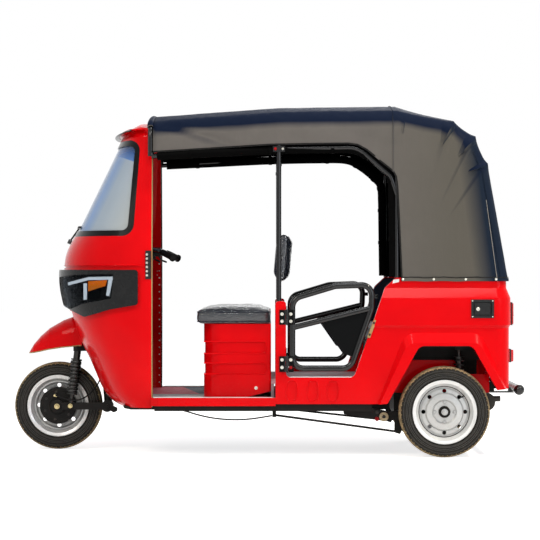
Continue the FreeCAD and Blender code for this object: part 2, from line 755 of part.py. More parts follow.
def make_seat_deck():
    inner = sill_half_w - panel_t - running_gap
    rear = tub_rear_x - panel_t - running_gap
    deck = box(floor_x1, rear, -deck_half_w, deck_half_w, deck_z - 12, deck_z)
    wings = [box(floor_x1 + 60, tub_rear_x - tub_corner_r, y0, y1, deck_z - 12, deck_z)
             for y0, y1 in ((-inner, 10 - deck_half_w), (deck_half_w - 10, inner))]
    riser = box(floor_x1, floor_x1 + 12, -deck_half_w, deck_half_w, passenger_floor_z - 15, deck_z - 5)
    skirts = [box(floor_x1 + 5, kick_x1, y0, y1, 504, deck_z - 5)
              for y0, y1 in ((-372, -360), (360, 372))]
    eyes = [box(rear_shock_x - 20, rear_shock_x + 20, y0, y1, 560, deck_z - 5)
            for y0, y1 in ((-484, -436), (436, 484))]
    ledges = [box(650, 1024, y0, y1, 504, 508) for y0, y1 in ((-404, -360), (360, 404))]
    return fuse([deck, riser] + wings + skirts + eyes + ledges)


backrest_x = tub_rear_x - 333.0


def make_rear_cushion():
    z0 = deck_z + running_gap
    return soft_box(558, backrest_x - 2, 5 - deck_half_w, deck_half_w - 5, z0, z0 + 112, 30)


def make_rear_backrest():
    z0 = deck_z + running_gap
    return slanted_block(backrest_x, backrest_x + 88, deck_half_w - 5, z0, 1150, 90, 30)


# Canopy: stations as (origin x, origin z, angle from level, reach to crown, half width, crown drop, shoulder)
pivot_x, pivot_z = 702.0, 875.0
canopy_half_w = sill_half_w - 5.7
canopy_x0 = -600.0
post_half_w = post_y + tube_r + 0.5 + canopy_t
roof_stations = [
    (canopy_x0, 0, 90, 1826, 565, 65, 95), (post_x, 0, 90, 1873, post_half_w, 65, 95),
    (pivot_x, 0, 90, 1880, canopy_half_w, 65, 95)]
rear_stations = [
    (pivot_x, pivot_z, 90, 1005, canopy_half_w, 65, 95), (pivot_x, pivot_z, 71.7, 974, canopy_half_w, 40, 95),
    (pivot_x, pivot_z, 63.2, 937, canopy_half_w, 30, 90), (pivot_x, pivot_z, 54.7, 839, canopy_half_w, 20, 85),
    (pivot_x, pivot_z, 0, tub_rear_x + 10 - pivot_x, canopy_half_w, 3, 66)]


def hood_section(station, low, inset=0.0, closed=True):
    """Upright sides, round shoulders and a slightly crowned top, on a plane across the vehicle."""
    x0, z0, angle, reach, half_w, drop, shoulder = station
    slope = math.radians(angle)

    def at(y, h):
        return V(x0 + h * math.cos(slope), y, z0 + h * math.sin(slope))

    crown_r = (half_w ** 2 + drop ** 2) / (2 * drop)
    crown_h = reach - crown_r
    centre_y = half_w - shoulder
    centre_h = crown_h + math.sqrt((crown_r - shoulder) ** 2 - centre_y ** 2)
    lean = math.atan2(centre_y, centre_h - crown_h)
    side = half_w - inset
    bend = shoulder - inset
    top_r = crown_r - inset
    middle = (math.pi / 2 + lean) / 2
    join_y, join_h = top_r * math.sin(lean), crown_h + top_r * math.cos(lean)
    mid_y, mid_h = centre_y + bend * math.sin(middle), centre_h + bend * math.cos(middle)
    edges = [
        Part.makeLine(at(-side, low), at(-side, centre_h)),
        Part.Arc(at(-side, centre_h), at(-mid_y, mid_h), at(-join_y, join_h)).toShape(),
        Part.Arc(at(-join_y, join_h), at(0, reach - inset), at(join_y, join_h)).toShape(),
        Part.Arc(at(join_y, join_h), at(mid_y, mid_h), at(side, centre_h)).toShape(),
        Part.makeLine(at(side, centre_h), at(side, low))]
    if closed:
        edges.append(Part.makeLine(at(side, low), at(-side, low)))
    return Part.Wire(edges)


def hood_block(stations, low, inset=0.0):
    return Part.makeLoft([hood_section(s, low, inset) for s in stations], True, True)


def side_opening():
    points = [(-900, 600), (-900, side_hem[0][1] - 15)] + side_hem[1:] + [(side_hem[-1][0], 600)]
    return plate_xz(points, [0, 0] + hem_bends[1:-1] + [0, 0], -side_reach, side_reach)


back_window = [(-330, 1085), (330, 1085), (300, 1400), (-300, 1400)]


def back_window_prism():
    return plate_yz(back_window, 50, 1000, 1400)


def canopy_shell():
    low_roof, low_rear = 870.0, 60.0
    outer = hood_block(roof_stations, low_roof).fuse(hood_block(rear_stations, low_rear))
    inner = hood_block(roof_stations, low_roof, canopy_t).fuse(hood_block(rear_stations, low_rear, canopy_t))
    shell = outer.cut(inner)
    floor_cut = box(-700, 1400, -side_reach, side_reach, 800, canopy_hem_z)
    return shell.cut(floor_cut).cut(side_opening())


def make_canopy():
    return canopy_shell().cut(back_window_prism())


def make_canopy_window():
    return canopy_shell().common(back_window_prism())


bead_r = 16.0
ridge_drop = 6.0


def roof_bow(station, low, radius=tube_r, extra=0.0):
    path = hood_section(station, low, canopy_t + radius + 0.5 + extra, False)
    edge = path.Edges[0]
    circle = Part.Wire(Part.makeCircle(radius, edge.valueAt(edge.FirstParameter),
                                       edge.tangentAt(edge.FirstParameter)))
    return path.makePipeShell([circle], True, False)


def make_roof_frame():
    inward = canopy_t + tube_r + 0.5
    bows = [roof_bow(roof_stations[0], rail_z(canopy_x0), bead_r),
            roof_bow(roof_stations[1], rail_z(post_x) - tube_r)]
    hoop_x = side_hem[-1][0] - rail_back
    hoop = (hoop_x,) + roof_stations[2][1:]
    bows.append(roof_bow(hoop, tub_top_z))
    for station in rear_stations[1:4]:
        slope = math.radians(station[2])
        foot = tub_top_z + running_gap - pivot_z + tube_r * math.cos(slope)
        bows.append(roof_bow(station, foot / math.sin(slope), tube_r, ridge_drop))
    for side in (-1, 1):
        start_x = canopy_x0 + 4
        points = [(start_x, side * (565 - inward), rail_z(start_x)), (post_x, side * post_y, rail_z(post_x)),
                  (490, side * (canopy_half_w - inward), rail_z(490)),
                  (side_hem[3][0] - rail_back - 8, side * (canopy_half_w - inward), 1478),
                  (hoop_x, side * (canopy_half_w - inward), 1380)]
        bows.append(tube(points, tube_r, [0, 3000, 125, 40, 0]))
    return fuse(bows + seat_posts())


# Running gear
def coil_spring(start, end, wire_r, coil_r, turns, core_r):
    """A coil spring drawn as close-set rounds of wire on its damper."""
    start, end = V(*start), V(*end)
    length = (end - start).Length
    pitch = length / turns
    core = Part.makeCylinder(core_r, length)
    rounds = [Part.makeTorus(coil_r, wire_r, V(0, 0, pitch * (i + 0.5))) for i in range(turns)]
    body = core.multiFuse(rounds)
    body.Placement = FreeCAD.Placement(start, FreeCAD.Rotation(AXIS_Z, end - start))
    return body


brake_rod_front = (60.0, 330.0, 205.0)
brake_rod_rear = (706.0, arm_y0 + 9.0, 126.0)


def make_trailing_arms():
    outline = [(arm_pivot_x, 230), (760, 246), (900, 276), (1046, 268), (1060, 232), (1040, 196),
               (880, 196), (arm_pivot_x, 186)]
    arm = plate_xz(outline, [18, 40, 40, 18, 14, 18, 40, 18], arm_y0, arm_y1)
    eye = bar((arm_pivot_x, arm_y0, arm_pivot_z), (arm_pivot_x, arm_y1, arm_pivot_z), 24)
    housing = bar((rear_axle_x, arm_y0 - 12, axle_z), (rear_axle_x, arm_y1, axle_z), 46)
    lever = plate_xz([(690, 200), (690, 122), (722, 112), (752, 200)], [0, 8, 8, 0], arm_y0 + 4, arm_y0 + 14)
    pivot = bar((arm_pivot_x, 400, arm_pivot_z), (arm_pivot_x, 520, arm_pivot_z), arm_pin_r + running_gap)
    bore = bar((rear_axle_x, 400, axle_z), (rear_axle_x, 520, axle_z), shaft_r + running_gap)
    rod = bar(brake_rod_front, brake_rod_rear, 6)
    plate = bar((rear_axle_x, arm_y1, axle_z), (rear_axle_x, arm_y1 + 4, axle_z), drum_r + 6)
    arm = fuse([arm, eye, housing, lever, rod, plate]).cut(pivot).cut(bore)
    return group([arm, mirrored(arm)])


def make_rod_brackets():
    """The guides under a cross member in which the brake rods slide."""
    x, y, z = brake_rod_front
    start, end = V(*brake_rod_front), V(*brake_rod_rear)
    along = (end - start).normalize()
    bore = Part.makeCylinder(6 + running_gap, 60, start - along * 10, along)
    bracket = box(x - 18, x + 2, y - 12, y + 12, z - 10, beam_top_z - beam_h).cut(bore)
    return [bracket, mirrored(bracket)]


rear_shock_x, rear_shock_y = 1034.0, 459.0


def make_rear_shocks():
    def at(z):
        return (rear_shock_x, rear_shock_y, z)

    spring = coil_spring(at(300), at(520), 5, 25, 9, 21)
    rod = bar(at(269.6), at(560), 11)
    seats = [bar(at(z), at(z + 8), 30) for z in (294, 516)]
    shock = fuse([spring, rod] + seats)
    return group([shock, mirrored(shock)])


def make_engine():
    """The engine and gearbox as one plain block, bored where the half shafts go in."""
    block = box(engine_x0, engine_x1, -engine_half_w, engine_half_w, engine_z0, engine_z1)
    rims = [e for e in block.Edges if abs(e.Vertexes[0].Y - e.Vertexes[1].Y) > 1]
    return block.makeFillet(30, rims)


def make_exhaust():
    x, z, r = 1205.0, 268.0, 50.0
    drum = bar((x, -180, z), (x, 180, z), r)
    straps = [box(x - 12, x + 12, y - 10, y + 10, z + r - 6, 330) for y in (-110, 110)]
    feed = bar((engine_x1, 60, 262), (x - 20, 60, 262), 18)
    tail = tube([(x, 170, 258), (x, 300, 258), (1330, 300, 258)], 16, [0, 60, 0])
    end = bar((1250, 300, 258), (1340, 300, 258), 11)
    return fuse([drum, feed, tail] + straps).cut(end)


# Wheels; profiles are (radius, offset outwards from the wheel's middle)
tyre_profile = [
    (153, -51.7), (170, -51.7), (179, -62), (201, -67.5), (222, -65), (235, -52), (tyre_r, -30),
    (tyre_r, 30), (235, 52), (222, 65), (201, 67.5), (179, 62), (170, 51.7), (153, 51.7)]
barrel_profile = [
    (rim_flange_r, 54), (rim_flange_r, 58), (160, 59), (150, 55), (147, 40), (136, 24), (136, -24),
    (147, -40), (150, -55), (160, -59), (rim_flange_r, -58), (rim_flange_r, -54), (rim_bead_r, -52),
    (rim_bead_r, -40), (141, -22), (141, 22), (rim_bead_r, 40), (rim_bead_r, 52)]
disc_profile = [
    (137, 10), (128, 10), (118, 16), (100, 18), (92, 30), (66, 34), (58, 27), (31.3, 27), (31.3, 32),
    (56, 32), (65, 39), (94, 35), (102, 23), (119, 21), (129, 15), (137, 15)]
hub_reach = 27.0


def wheel_solid(profile, x, y, z, outward):
    return turned([(r, outward * d) for r, d in profile], x, y, z)


def make_tyre(x, y, outward):
    return wheel_solid(tyre_profile, x, y, axle_z, outward)


def make_rim(x, y, outward):
    rim = wheel_solid(barrel_profile, x, y, axle_z, outward).fuse(
        wheel_solid(disc_profile, x, y, axle_z, outward))
    holes = []
    for i in range(8):
        angle = math.radians(45 * i)
        hx, hz = x + 110 * math.cos(angle), axle_z + 110 * math.sin(angle)
        holes.append(bar((hx, y - 60, hz), (hx, y + 60, hz), 11))
    return rim.cut(fuse(holes))


def make_rear_hub(side):
    """Brake drum, hub face, cap and the half shaft from the gearbox."""
    def at(d):
        return side * d

    x = rear_axle_x
    drum = bar((x, at(drum_y0), axle_z), (x, at(drum_y1), axle_z), drum_r)
    well = bar((x, at(drum_y0 - 1), axle_z), (x, at(drum_y0 + 30), axle_z), drum_r - 8)
    drum = drum.cut(well)
    face = bar((x, at(drum_y1 - 5), axle_z), (x, at(rear_wheel_y + hub_reach), axle_z), 58)
    cap = bar((x, at(rear_wheel_y), axle_z), (x, at(rear_wheel_y + hub_reach + 12), axle_z), 31)
    nut = bar((x, at(rear_wheel_y), axle_z), (x, at(rear_wheel_y + hub_reach + 22), axle_z), 15)
    shaft = bar((x, at(engine_half_w + running_gap), axle_z), (x, at(rear_wheel_y), axle_z), shaft_r)
    return fuse([drum, face, cap, nut, shaft])


front_wheel_y = 0.0
front_bore_r = 12.0
backing_y0, backing_y1 = -62.0, -57.0


def make_front_hub():
    x = front_axle_x
    drum = bar((x, -50, axle_z), (x, 10, axle_z), drum_r)
    well = bar((x, -51, axle_z), (x, -20, axle_z), drum_r - 8)
    face = bar((x, 8, axle_z), (x, hub_reach, axle_z), 58)
    neck = bar((x, -45, axle_z), (x, 36, axle_z), 26)
    collar = bar((x, hub_reach - 2, axle_z), (x, hub_reach + 5, axle_z), 31)
    bore = bar((x, -60, axle_z), (x, 60, axle_z), front_bore_r + running_gap)
    return drum.cut(well).fuse(face).fuse(neck).fuse(collar).cut(bore)


# Steering: everything here turns with the handlebar
fork_z = 560.0
foot_y1 = 25.0
link_half = 19.0
shock_y = -106.0
plate_z0, plate_z1 = 542.0, 566.0


def stepped_bar(levels):
    """A turned bar on the steering axis. Levels are (height from, height to, radius), joined end to end."""
    stretch = math.sqrt(1 + steer_slope ** 2)
    base = levels[0][0]
    outline = [V(0, 0, 0)]
    for z0, z1, radius in levels:
        outline += [V(radius, 0, (z0 - base) * stretch), V(radius, 0, (z1 - base) * stretch)]
    outline.append(V(0, 0, (levels[-1][1] - base) * stretch))
    solid = Part.Face(Part.makePolygon(outline + outline[:1])).revolve(V(0, 0, 0), AXIS_Z, 360)
    solid.Placement = FreeCAD.Placement(V(steer_x(base), 0, base),
                                        FreeCAD.Rotation(AXIS_Z, V(steer_slope, 0, 1)))
    return solid


def make_trunk():
    """The steering column, its bent leg down to the foot, and the plate over the wheel."""
    column = stepped_bar([
        (fork_z - 22, head_z0 - 14, column_r), (head_z0 - 14, head_z0 - running_gap, head_r - 2),
        (head_z0 - running_gap, head_z1 + running_gap, column_r),
        (head_z1 + running_gap, head_z1 + 12, head_r - 2), (head_z1 + 12, 1075, 14)])
    leg = bar((steer_x(fork_z), 0, fork_z), (link_pivot_x, 0, axle_z), 22)
    foot = bar((link_pivot_x, link_y1 + running_gap, axle_z), (link_pivot_x, foot_y1, axle_z), 27)
    pin = bar((link_pivot_x, link_y0 - 14, axle_z), (link_pivot_x, link_y1 + 5, axle_z), 10)
    plate = plate_xy([(-1047, -136), (-868, -60), (-868, 60), (-1000, 112), (-1047, 112)], 18,
                     plate_z0, plate_z1)
    x, _, z = bar_points[3]
    horn = box(-640, -572, -30, 30, 1060, 1109).cut(bar((x, -60, z), (x, 60, z), bar_r))
    return fuse([column, leg, foot, pin, plate, horn])


bar_points = [(-495, -330, 1052), (-560, -250, 1085), (-600, -150, 1095), (-606, -60, 1092),
              (-606, 60, 1092), (-600, 150, 1095), (-560, 250, 1085), (-495, 330, 1052)]


def handlebar_rail():
    return tube(bar_points, bar_r, [0, 60, 60, 60, 60, 60, 60, 0])


def make_handlebar():
    return handlebar_rail()


def make_grips():
    """Two rubber grips and the levers in front of them."""
    end, knee = V(*bar_points[0]), V(*bar_points[1])
    along = (knee - end).normalize()
    rod = Part.makeCylinder(bar_r, 140, end, along)
    start = end - along * 6
    grip = Part.makeCylinder(17, 90, start, along).fuse(Part.makeCylinder(21, 6, start, along)).cut(rod)
    lever = tube([(-548, -238, 1076), (-600, -262, 1068), (-585, -345, 1040), (-560, -372, 1030)], 5,
                 [0, 20, 20, 0])
    clamp = Part.makeCylinder(16, 11, end + along * 85, along)
    reach = bar((-566, -262, 1070), (-592, -262, 1070), 6)
    parts = [grip, fuse([clamp, reach, lever]).cut(handlebar_rail())]
    return group(parts + [mirrored(part) for part in parts])


def make_front_link():
    """The leading link with the axle, the brake backing plate and the lug under the damper."""
    def eye(x, r):
        return bar((x, link_y0, axle_z), (x, link_y1, axle_z), r)

    beam = plate_xz([(front_axle_x, axle_z - link_half), (link_pivot_x, axle_z - link_half),
                     (link_pivot_x, axle_z + link_half), (front_axle_x, axle_z + link_half)], 0,
                    link_y0, link_y1)
    lever = plate_xz([(link_pivot_x, axle_z - 17), (-826, 206), (-808, 212), (-806, 230),
                      (link_pivot_x, axle_z + 17)], [0, 8, 10, 8, 0], link_y0, link_y1)
    axle = bar((front_axle_x, link_y0 - 10, axle_z), (front_axle_x, 50, axle_z), front_bore_r)
    nut = bar((front_axle_x, 37, axle_z), (front_axle_x, 50, axle_z), 20)
    head = bar((front_axle_x, link_y0 - 14, axle_z), (front_axle_x, link_y0, axle_z), 18)
    spacer = bar((front_axle_x, link_y1, axle_z), (front_axle_x, backing_y1, axle_z), 24)
    backing = bar((front_axle_x, backing_y0, axle_z), (front_axle_x, backing_y1, axle_z), drum_r + 5)
    union = bar((-1150, backing_y0, 300), (-1150, hose_start[1] + 4, 300), 7)
    whole = fuse([eye(front_axle_x, 34), eye(link_pivot_x, 32), beam, lever, axle, nut, head, spacer,
                  backing, union])
    pin = bar((link_pivot_x, -200, axle_z), (link_pivot_x, 0, axle_z), 10 + running_gap)
    return whole.cut(pin)


hose_start = (-1143, -124, 300)
hose_points = [hose_start, (-1100, -127, 284), (-1052, -129, 272), (-1005, -126, 276), (-962, -114, 302),
               (-926, -88, 340), (-903, -54, 384), (-894, -26, 424)]
hose_r = 4.0


def tangent_radii(points):
    """The largest arc at each corner of a hanging line: 0.45 of the shorter run."""
    points = [V(*p) for p in points]
    radii = [0]
    for before, here, after in zip(points, points[1:], points[2:]):
        turn = (here - before).getAngle(after - here)
        short = min((here - before).Length, (after - here).Length)
        radii.append(0.45 * short / math.tan(turn / 2))
    return radii + [0]


def make_brake_hose():
    return tube(hose_points, hose_r, tangent_radii(hose_points))


def make_front_shock():
    low, high = (-1061, shock_y, axle_z + link_half), (-1024, shock_y, plate_z0)

    def at(z):
        share = (z - low[2]) / (high[2] - low[2])
        return (low[0] + share * (high[0] - low[0]), shock_y, z)

    spring = coil_spring(at(311), at(493), 5, 25, 9, 21)
    damper = bar(low, high, 12)
    dust = bar(at(493), at(544), 19)
    seats = [bar(at(z), at(z + 7), 30) for z in (305, 492)]
    shock = fuse([spring, damper, dust] + seats)
    return shock.cut(box(-1200, -900, -200, 0, 150, axle_z + link_half)).cut(
        box(-1200, -900, -200, 0, plate_z0, 700))


# Front fender: (front to back, lower edge, ridge, half width)
fender_sections = [
    (-1299, 526, 531, 5), (-1273, 529, 577, 42), (-1235, 536, 621, 68), (-1185, 548, 665, 90),
    (-1108, 560, 709, 106), (-1047, 566, 731, 114), (-1000, 570, 738, 116)]
fender_t = 5.0


def fender_wire(x, low, high, half_w, inset):
    half_w, high = half_w - inset, high - inset
    rise = high - low
    low = low - 8 * inset
    shape = [(1.0, 0.0), (0.97, 0.34), (0.80, 0.70), (0.40, 0.93)]
    side = [(half_w * a, high - rise * (1 - b)) for a, b in shape[1:]]
    points = [(half_w, low)] + side + [(0, high)] + [(-y, z) for y, z in reversed(side)] + [(-half_w, low)]
    curve = Part.BSplineCurve()
    curve.interpolate([V(x, y, z) for y, z in points])
    return Part.Wire([curve.toShape(), Part.makeLine(V(x, -half_w, low), V(x, half_w, low))])


def make_fender():
    outer = Part.makeLoft([fender_wire(*row, 0) for row in fender_sections], True, True)
    nose_row, tail_row = fender_sections[1], fender_sections[-1]
    inner_rows = [(nose_row[0] + 12,) + nose_row[1:]] + fender_sections[2:-1]
    inner_rows.append((tail_row[0] + 5,) + tail_row[1:])
    inner = Part.makeLoft([fender_wire(*row, fender_t) for row in inner_rows], True, True)
    shell = outer.cut(inner)
    legs = [box(-1046, -1004, y0, y1, plate_z1, plate_z1 + 6) for y0, y1 in ((-112, -90), (86, 112))]
    return shell.fuse(legs).cut(box(-1400, -900, -200, 200, 400, 520))


# Tube gates in the passenger doorways
hinge_x, hinge_y = 119.0, lip_y + 10.0
hinge_pin_r = 3.5
knuckle_r = 7.0
hinge_rows = [(698.0, 776.0, lip_y), (450.0, 533.0, sill_half_w)]
leaf_y0, leaf_y1 = lip_y + 1.0, lip_y + 6.0
gate_loop = [(146, 469), (146, 833), (372, 901), (566, 908), (562, 784), (452, 469)]
gate_bends = [60, 60, 100, 55, 120, 60]


def knuckle_cut(z0, z1):
    """Where the gate's middle knuckle starts and ends within one hinge."""
    third = (z1 - z0) / 3
    return z0 + third, z1 - third


def hinge_bar(z0, z1, radius):
    return bar((hinge_x, hinge_y, z0), (hinge_x, hinge_y, z1), radius)


def make_gate():
    points = [(x, gate_y, z) for x, z in gate_loop]
    start = V((points[0][0] + points[1][0]) / 2, gate_y, (points[0][2] + points[1][2]) / 2)
    points = [(start.x, start.y, start.z)] + points[1:] + points[:1] + [(start.x, start.y, start.z)]
    path = round_wire(points, [0] + gate_bends[1:] + gate_bends[:1] + [0], False)
    edge = path.Edges[0]
    circle = Part.Wire(Part.makeCircle(gate_tube_r, start, edge.tangentAt(edge.FirstParameter)))
    loop = path.makePipeShell([circle], True, False)
    middle = bar((150, gate_y, 683), (556, gate_y, 783), gate_tube_r - 1)
    plate = plate_xz([(292, 717), (552, 782), (484, 520), (410, 548)], 0, gate_y - 2, gate_y + 2)
    parts = [loop, middle, plate]
    for z0, z1, _ in hinge_rows:
        low, high = knuckle_cut(z0, z1)
        parts.append(hinge_bar(low + 0.5, high - 0.5, knuckle_r))
        parts.append(hinge_bar(z0 - 3, z1 + 3, hinge_pin_r))
        parts.append(box(hinge_x, 130, leaf_y0, leaf_y1, low + 0.5, high - 0.5))
        parts.append(box(hinge_x + 10, 153, leaf_y0, leaf_y1, z0, z1))
    latch = box(574, 596, gate_y - 8, gate_y + 8, 836, 856)
    parts.append(latch)
    return fuse(parts)


def make_gate_left():
    return mirrored(make_gate())


def make_gate_right():
    return make_gate()


def make_gate_hinges():
    leaves = []
    for z0, z1, skin_y in hinge_rows:
        low, high = knuckle_cut(z0, z1)
        leaf = box(78, 110, skin_y, leaf_y1, z0, z1)
        webs = []
        for from_z, to_z in ((z0, low), (high, z1)):
            webs.append(box(105, hinge_x, leaf_y0, leaf_y1, from_z, to_z))
            webs.append(hinge_bar(from_z, to_z, knuckle_r))
        leaf = fuse([leaf] + webs).cut(hinge_bar(z0 - 10, z1 + 10, hinge_pin_r + running_gap))
        leaves += [leaf, mirrored(leaf)]
    return group(leaves)


def make_chassis_frame():
    return fuse([make_chassis()] + make_rod_brackets())


def make_parts():
    wheels = {
        "front": (front_axle_x, front_wheel_y, 1),
        "rear_left": (rear_axle_x, -rear_wheel_y, -1),
        "rear_right": (rear_axle_x, rear_wheel_y, 1)}
    parts = {
        "chassis_frame": make_chassis_frame, "floor_pan": make_floor, "side_sills": make_side_sills,
        "lower_cowl": make_lower_cowl, "windscreen_frame": make_windscreen_frame,
        "windscreen_glass": make_glass, "windscreen_gasket": make_gasket, "visor": make_visor,
        "headlamp_band": make_headlamp_band, "headlamp_lenses": make_lenses,
        "wheel_box": make_wheel_box, "dashboard": make_dashboard,
        "mirror_brackets": make_mirror_brackets, "wiper": make_wiper,
        "seat_box": make_seat_box, "driver_cushion": make_driver_cushion,
        "driver_backrest": make_driver_backrest,
        "quarter_left": make_quarter_left, "quarter_right": make_quarter_right,
        "fuel_frame": make_fuel_frame, "fuel_flap": make_fuel_flap, "rear_panel": make_rear_panel,
        "tailgate": make_tailgate, "tail_lamps": make_tail_lamps, "rear_bumper": make_bumper,
        "wheel_housings": make_wheel_housings, "seat_deck": make_seat_deck,
        "rear_cushion": make_rear_cushion, "rear_backrest": make_rear_backrest, "canopy": make_canopy,
        "canopy_window": make_canopy_window, "roof_frame": make_roof_frame,
        "gate_left": make_gate_left, "gate_right": make_gate_right, "gate_hinges": make_gate_hinges,
        "trailing_arms": make_trailing_arms, "rear_shocks": make_rear_shocks,
        "engine_block": make_engine, "exhaust": make_exhaust,
        "steering_trunk": make_trunk, "handlebar": make_handlebar, "grips": make_grips,
        "front_link": make_front_link, "brake_hose": make_brake_hose, "front_shock": make_front_shock,
        "front_fender": make_fender, "control_cable": make_control_cable, "front_hub": make_front_hub,
        "rear_left_hub": lambda: make_rear_hub(-1), "rear_right_hub": lambda: make_rear_hub(1)}
    for name, place in wheels.items():
        parts[name + "_tyre"] = lambda place=place: make_tyre(*place)
        parts[name + "_rim"] = lambda place=place: make_rim(*place)
    return parts


cable_r = 4.0
cable_y = -brake_rod_front[1]
cable_points = [
    (-470, cable_y, beam_top_z - beam_h - cable_r - running_gap), (-420, cable_y, 226),
    (-360, cable_y, 207), (-290, cable_y, 191), (-215, cable_y, 182), (-140, cable_y, 180),
    (-70, cable_y, 185), (-10, cable_y, 194), (brake_rod_front[0] - 19, cable_y, 203)]


def make_control_cable():
    """The cable that hangs under the floor from a cross member to the brake rod's guide."""
    return tube(cable_points, cable_r, tangent_radii(cable_points))


def main():
    os.makedirs("parts", exist_ok=True)
    for name, make in make_parts().items():
        shape = make()
        solids = shape.Solids
        whole = solids[0] if len(solids) == 1 else Part.makeCompound(solids)
        whole.exportStep("parts/" + name + ".step")
        print(name, len(solids), round(whole.Volume / 1000))


main()
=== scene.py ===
# Auto rickshaw: the looks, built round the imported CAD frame
import math

import bmesh
import bpy
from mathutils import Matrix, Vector, noise
from mathutils.bvhtree import BVHTree


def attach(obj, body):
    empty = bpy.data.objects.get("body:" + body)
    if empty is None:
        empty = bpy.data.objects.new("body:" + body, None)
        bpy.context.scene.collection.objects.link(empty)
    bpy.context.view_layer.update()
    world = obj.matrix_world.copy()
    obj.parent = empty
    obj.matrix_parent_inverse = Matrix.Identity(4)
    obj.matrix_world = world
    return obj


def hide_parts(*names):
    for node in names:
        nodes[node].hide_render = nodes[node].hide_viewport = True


print("loading the frame")
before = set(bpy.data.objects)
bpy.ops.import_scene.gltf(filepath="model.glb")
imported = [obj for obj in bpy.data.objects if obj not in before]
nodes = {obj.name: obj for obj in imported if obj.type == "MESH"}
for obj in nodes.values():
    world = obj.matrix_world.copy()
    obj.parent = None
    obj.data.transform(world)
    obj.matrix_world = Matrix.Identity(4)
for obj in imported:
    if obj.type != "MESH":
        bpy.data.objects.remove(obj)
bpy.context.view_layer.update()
mm = 0.001
sides = (("left", -1), ("right", 1))


# Colours are written as sRGB hex and turned to linear here
def linear(hexColour, alpha=1.0):
    channels = [int(hexColour[i:i + 2], 16) / 255 for i in (1, 3, 5)]
    return tuple([c / 12.92 if c <= 0.04045 else ((c + 0.055) / 1.055) ** 2.4 for c in channels] + [alpha])


# One node with its settings and its inputs; an input may be a value or another node's output
def addNode(tree, kind, settings=None, inputs=None):
    node = tree.nodes.new(kind)
    for name, value in (settings or {}).items():
        setattr(node, name, value)
    for name, value in (inputs or {}).items():
        socket = node.inputs[name]
        if isinstance(value, bpy.types.NodeSocket):
            tree.links.new(value, socket)
        else:
            socket.default_value = value
    return node


def newMaterial(name):
    material = bpy.data.materials.new(name)
    material.use_nodes = True
    tree = material.node_tree
    tree.nodes.clear()
    output = addNode(tree, "ShaderNodeOutputMaterial")
    return material, tree, output


# Place in millimetres, so that pattern scales read as real sizes
def placeMm(tree):
    place = addNode(tree, "ShaderNodeTexCoord")
    return addNode(tree, "ShaderNodeVectorMath", {"operation": "SCALE"},
                   {0: place.outputs["Object"], "Scale": 1000.0}).outputs[0]


# Noise whose lumps are about sizeMm across
def lumps(tree, place, sizeMm, detail=3.0, rough=0.5, stretch=(1, 1, 1)):
    scaled = addNode(tree, "ShaderNodeVectorMath", {"operation": "MULTIPLY"}, {0: place, 1: stretch})
    return addNode(tree, "ShaderNodeTexNoise", None,
                   {"Vector": scaled.outputs[0], "Scale": 1.0 / sizeMm, "Detail": detail,
                    "Roughness": rough}).outputs["Fac"]


def ramp(tree, value, stops):
    node = addNode(tree, "ShaderNodeValToRGB", None, {"Fac": value})
    elements = node.color_ramp.elements
    elements[0].position, elements[0].color = stops[0][0], stops[0][1]
    elements[1].position, elements[1].color = stops[-1][0], stops[-1][1]
    for position, colour in stops[1:-1]:
        elements.new(position).color = colour
    return node.outputs["Color"]


def grey(level):
    return (level, level, level, 1.0)


# Roughness between two levels, in patches about sizeMm across
def patchyRough(tree, place, sizeMm, detail, low, high):
    return ramp(tree, lumps(tree, place, sizeMm, detail), [(0.3, grey(low)), (0.7, grey(high))])


def blendColours(tree, share, first, second, how="MIX"):
    node = addNode(tree, "ShaderNodeMix", {"data_type": "RGBA", "blend_type": how})
    for index, value in ((0, share), (6, first), (7, second)):
        if isinstance(value, bpy.types.NodeSocket):
            tree.links.new(value, node.inputs[index])
        else:
            node.inputs[index].default_value = value
    return node.outputs[2]


def bump(tree, height, depthMm, strength=1.0, after=None):
    inputs = {"Height": height, "Distance": depthMm * mm, "Strength": strength}
    if after is not None:
        inputs["Normal"] = after
    return addNode(tree, "ShaderNodeBump", None, inputs).outputs["Normal"]


# How much of the surface faces along an axis: dust gathers where it faces up
def facing(tree, axis, low, high):
    normal = addNode(tree, "ShaderNodeNewGeometry").outputs["Normal"]
    upright = addNode(tree, "ShaderNodeSeparateXYZ", None, {0: normal}).outputs[axis]
    return addNode(tree, "ShaderNodeMapRange", None,
                   {"Value": upright, "From Min": low, "From Max": high}).outputs["Result"]


def dressShader(tree, output, settings):
    shader = addNode(tree, "ShaderNodeBsdfPrincipled", None, settings)
    tree.links.new(shader.outputs[0], output.inputs[0])
    return shader


print("making the finishes")
paintLook = {"redColour": "#e3060e", "deepRed": "#c8040c", "roadDust": "#8d6a58", "dustTop": 520,
             "orangePeelMm": 3.2, "waveMm": 260}


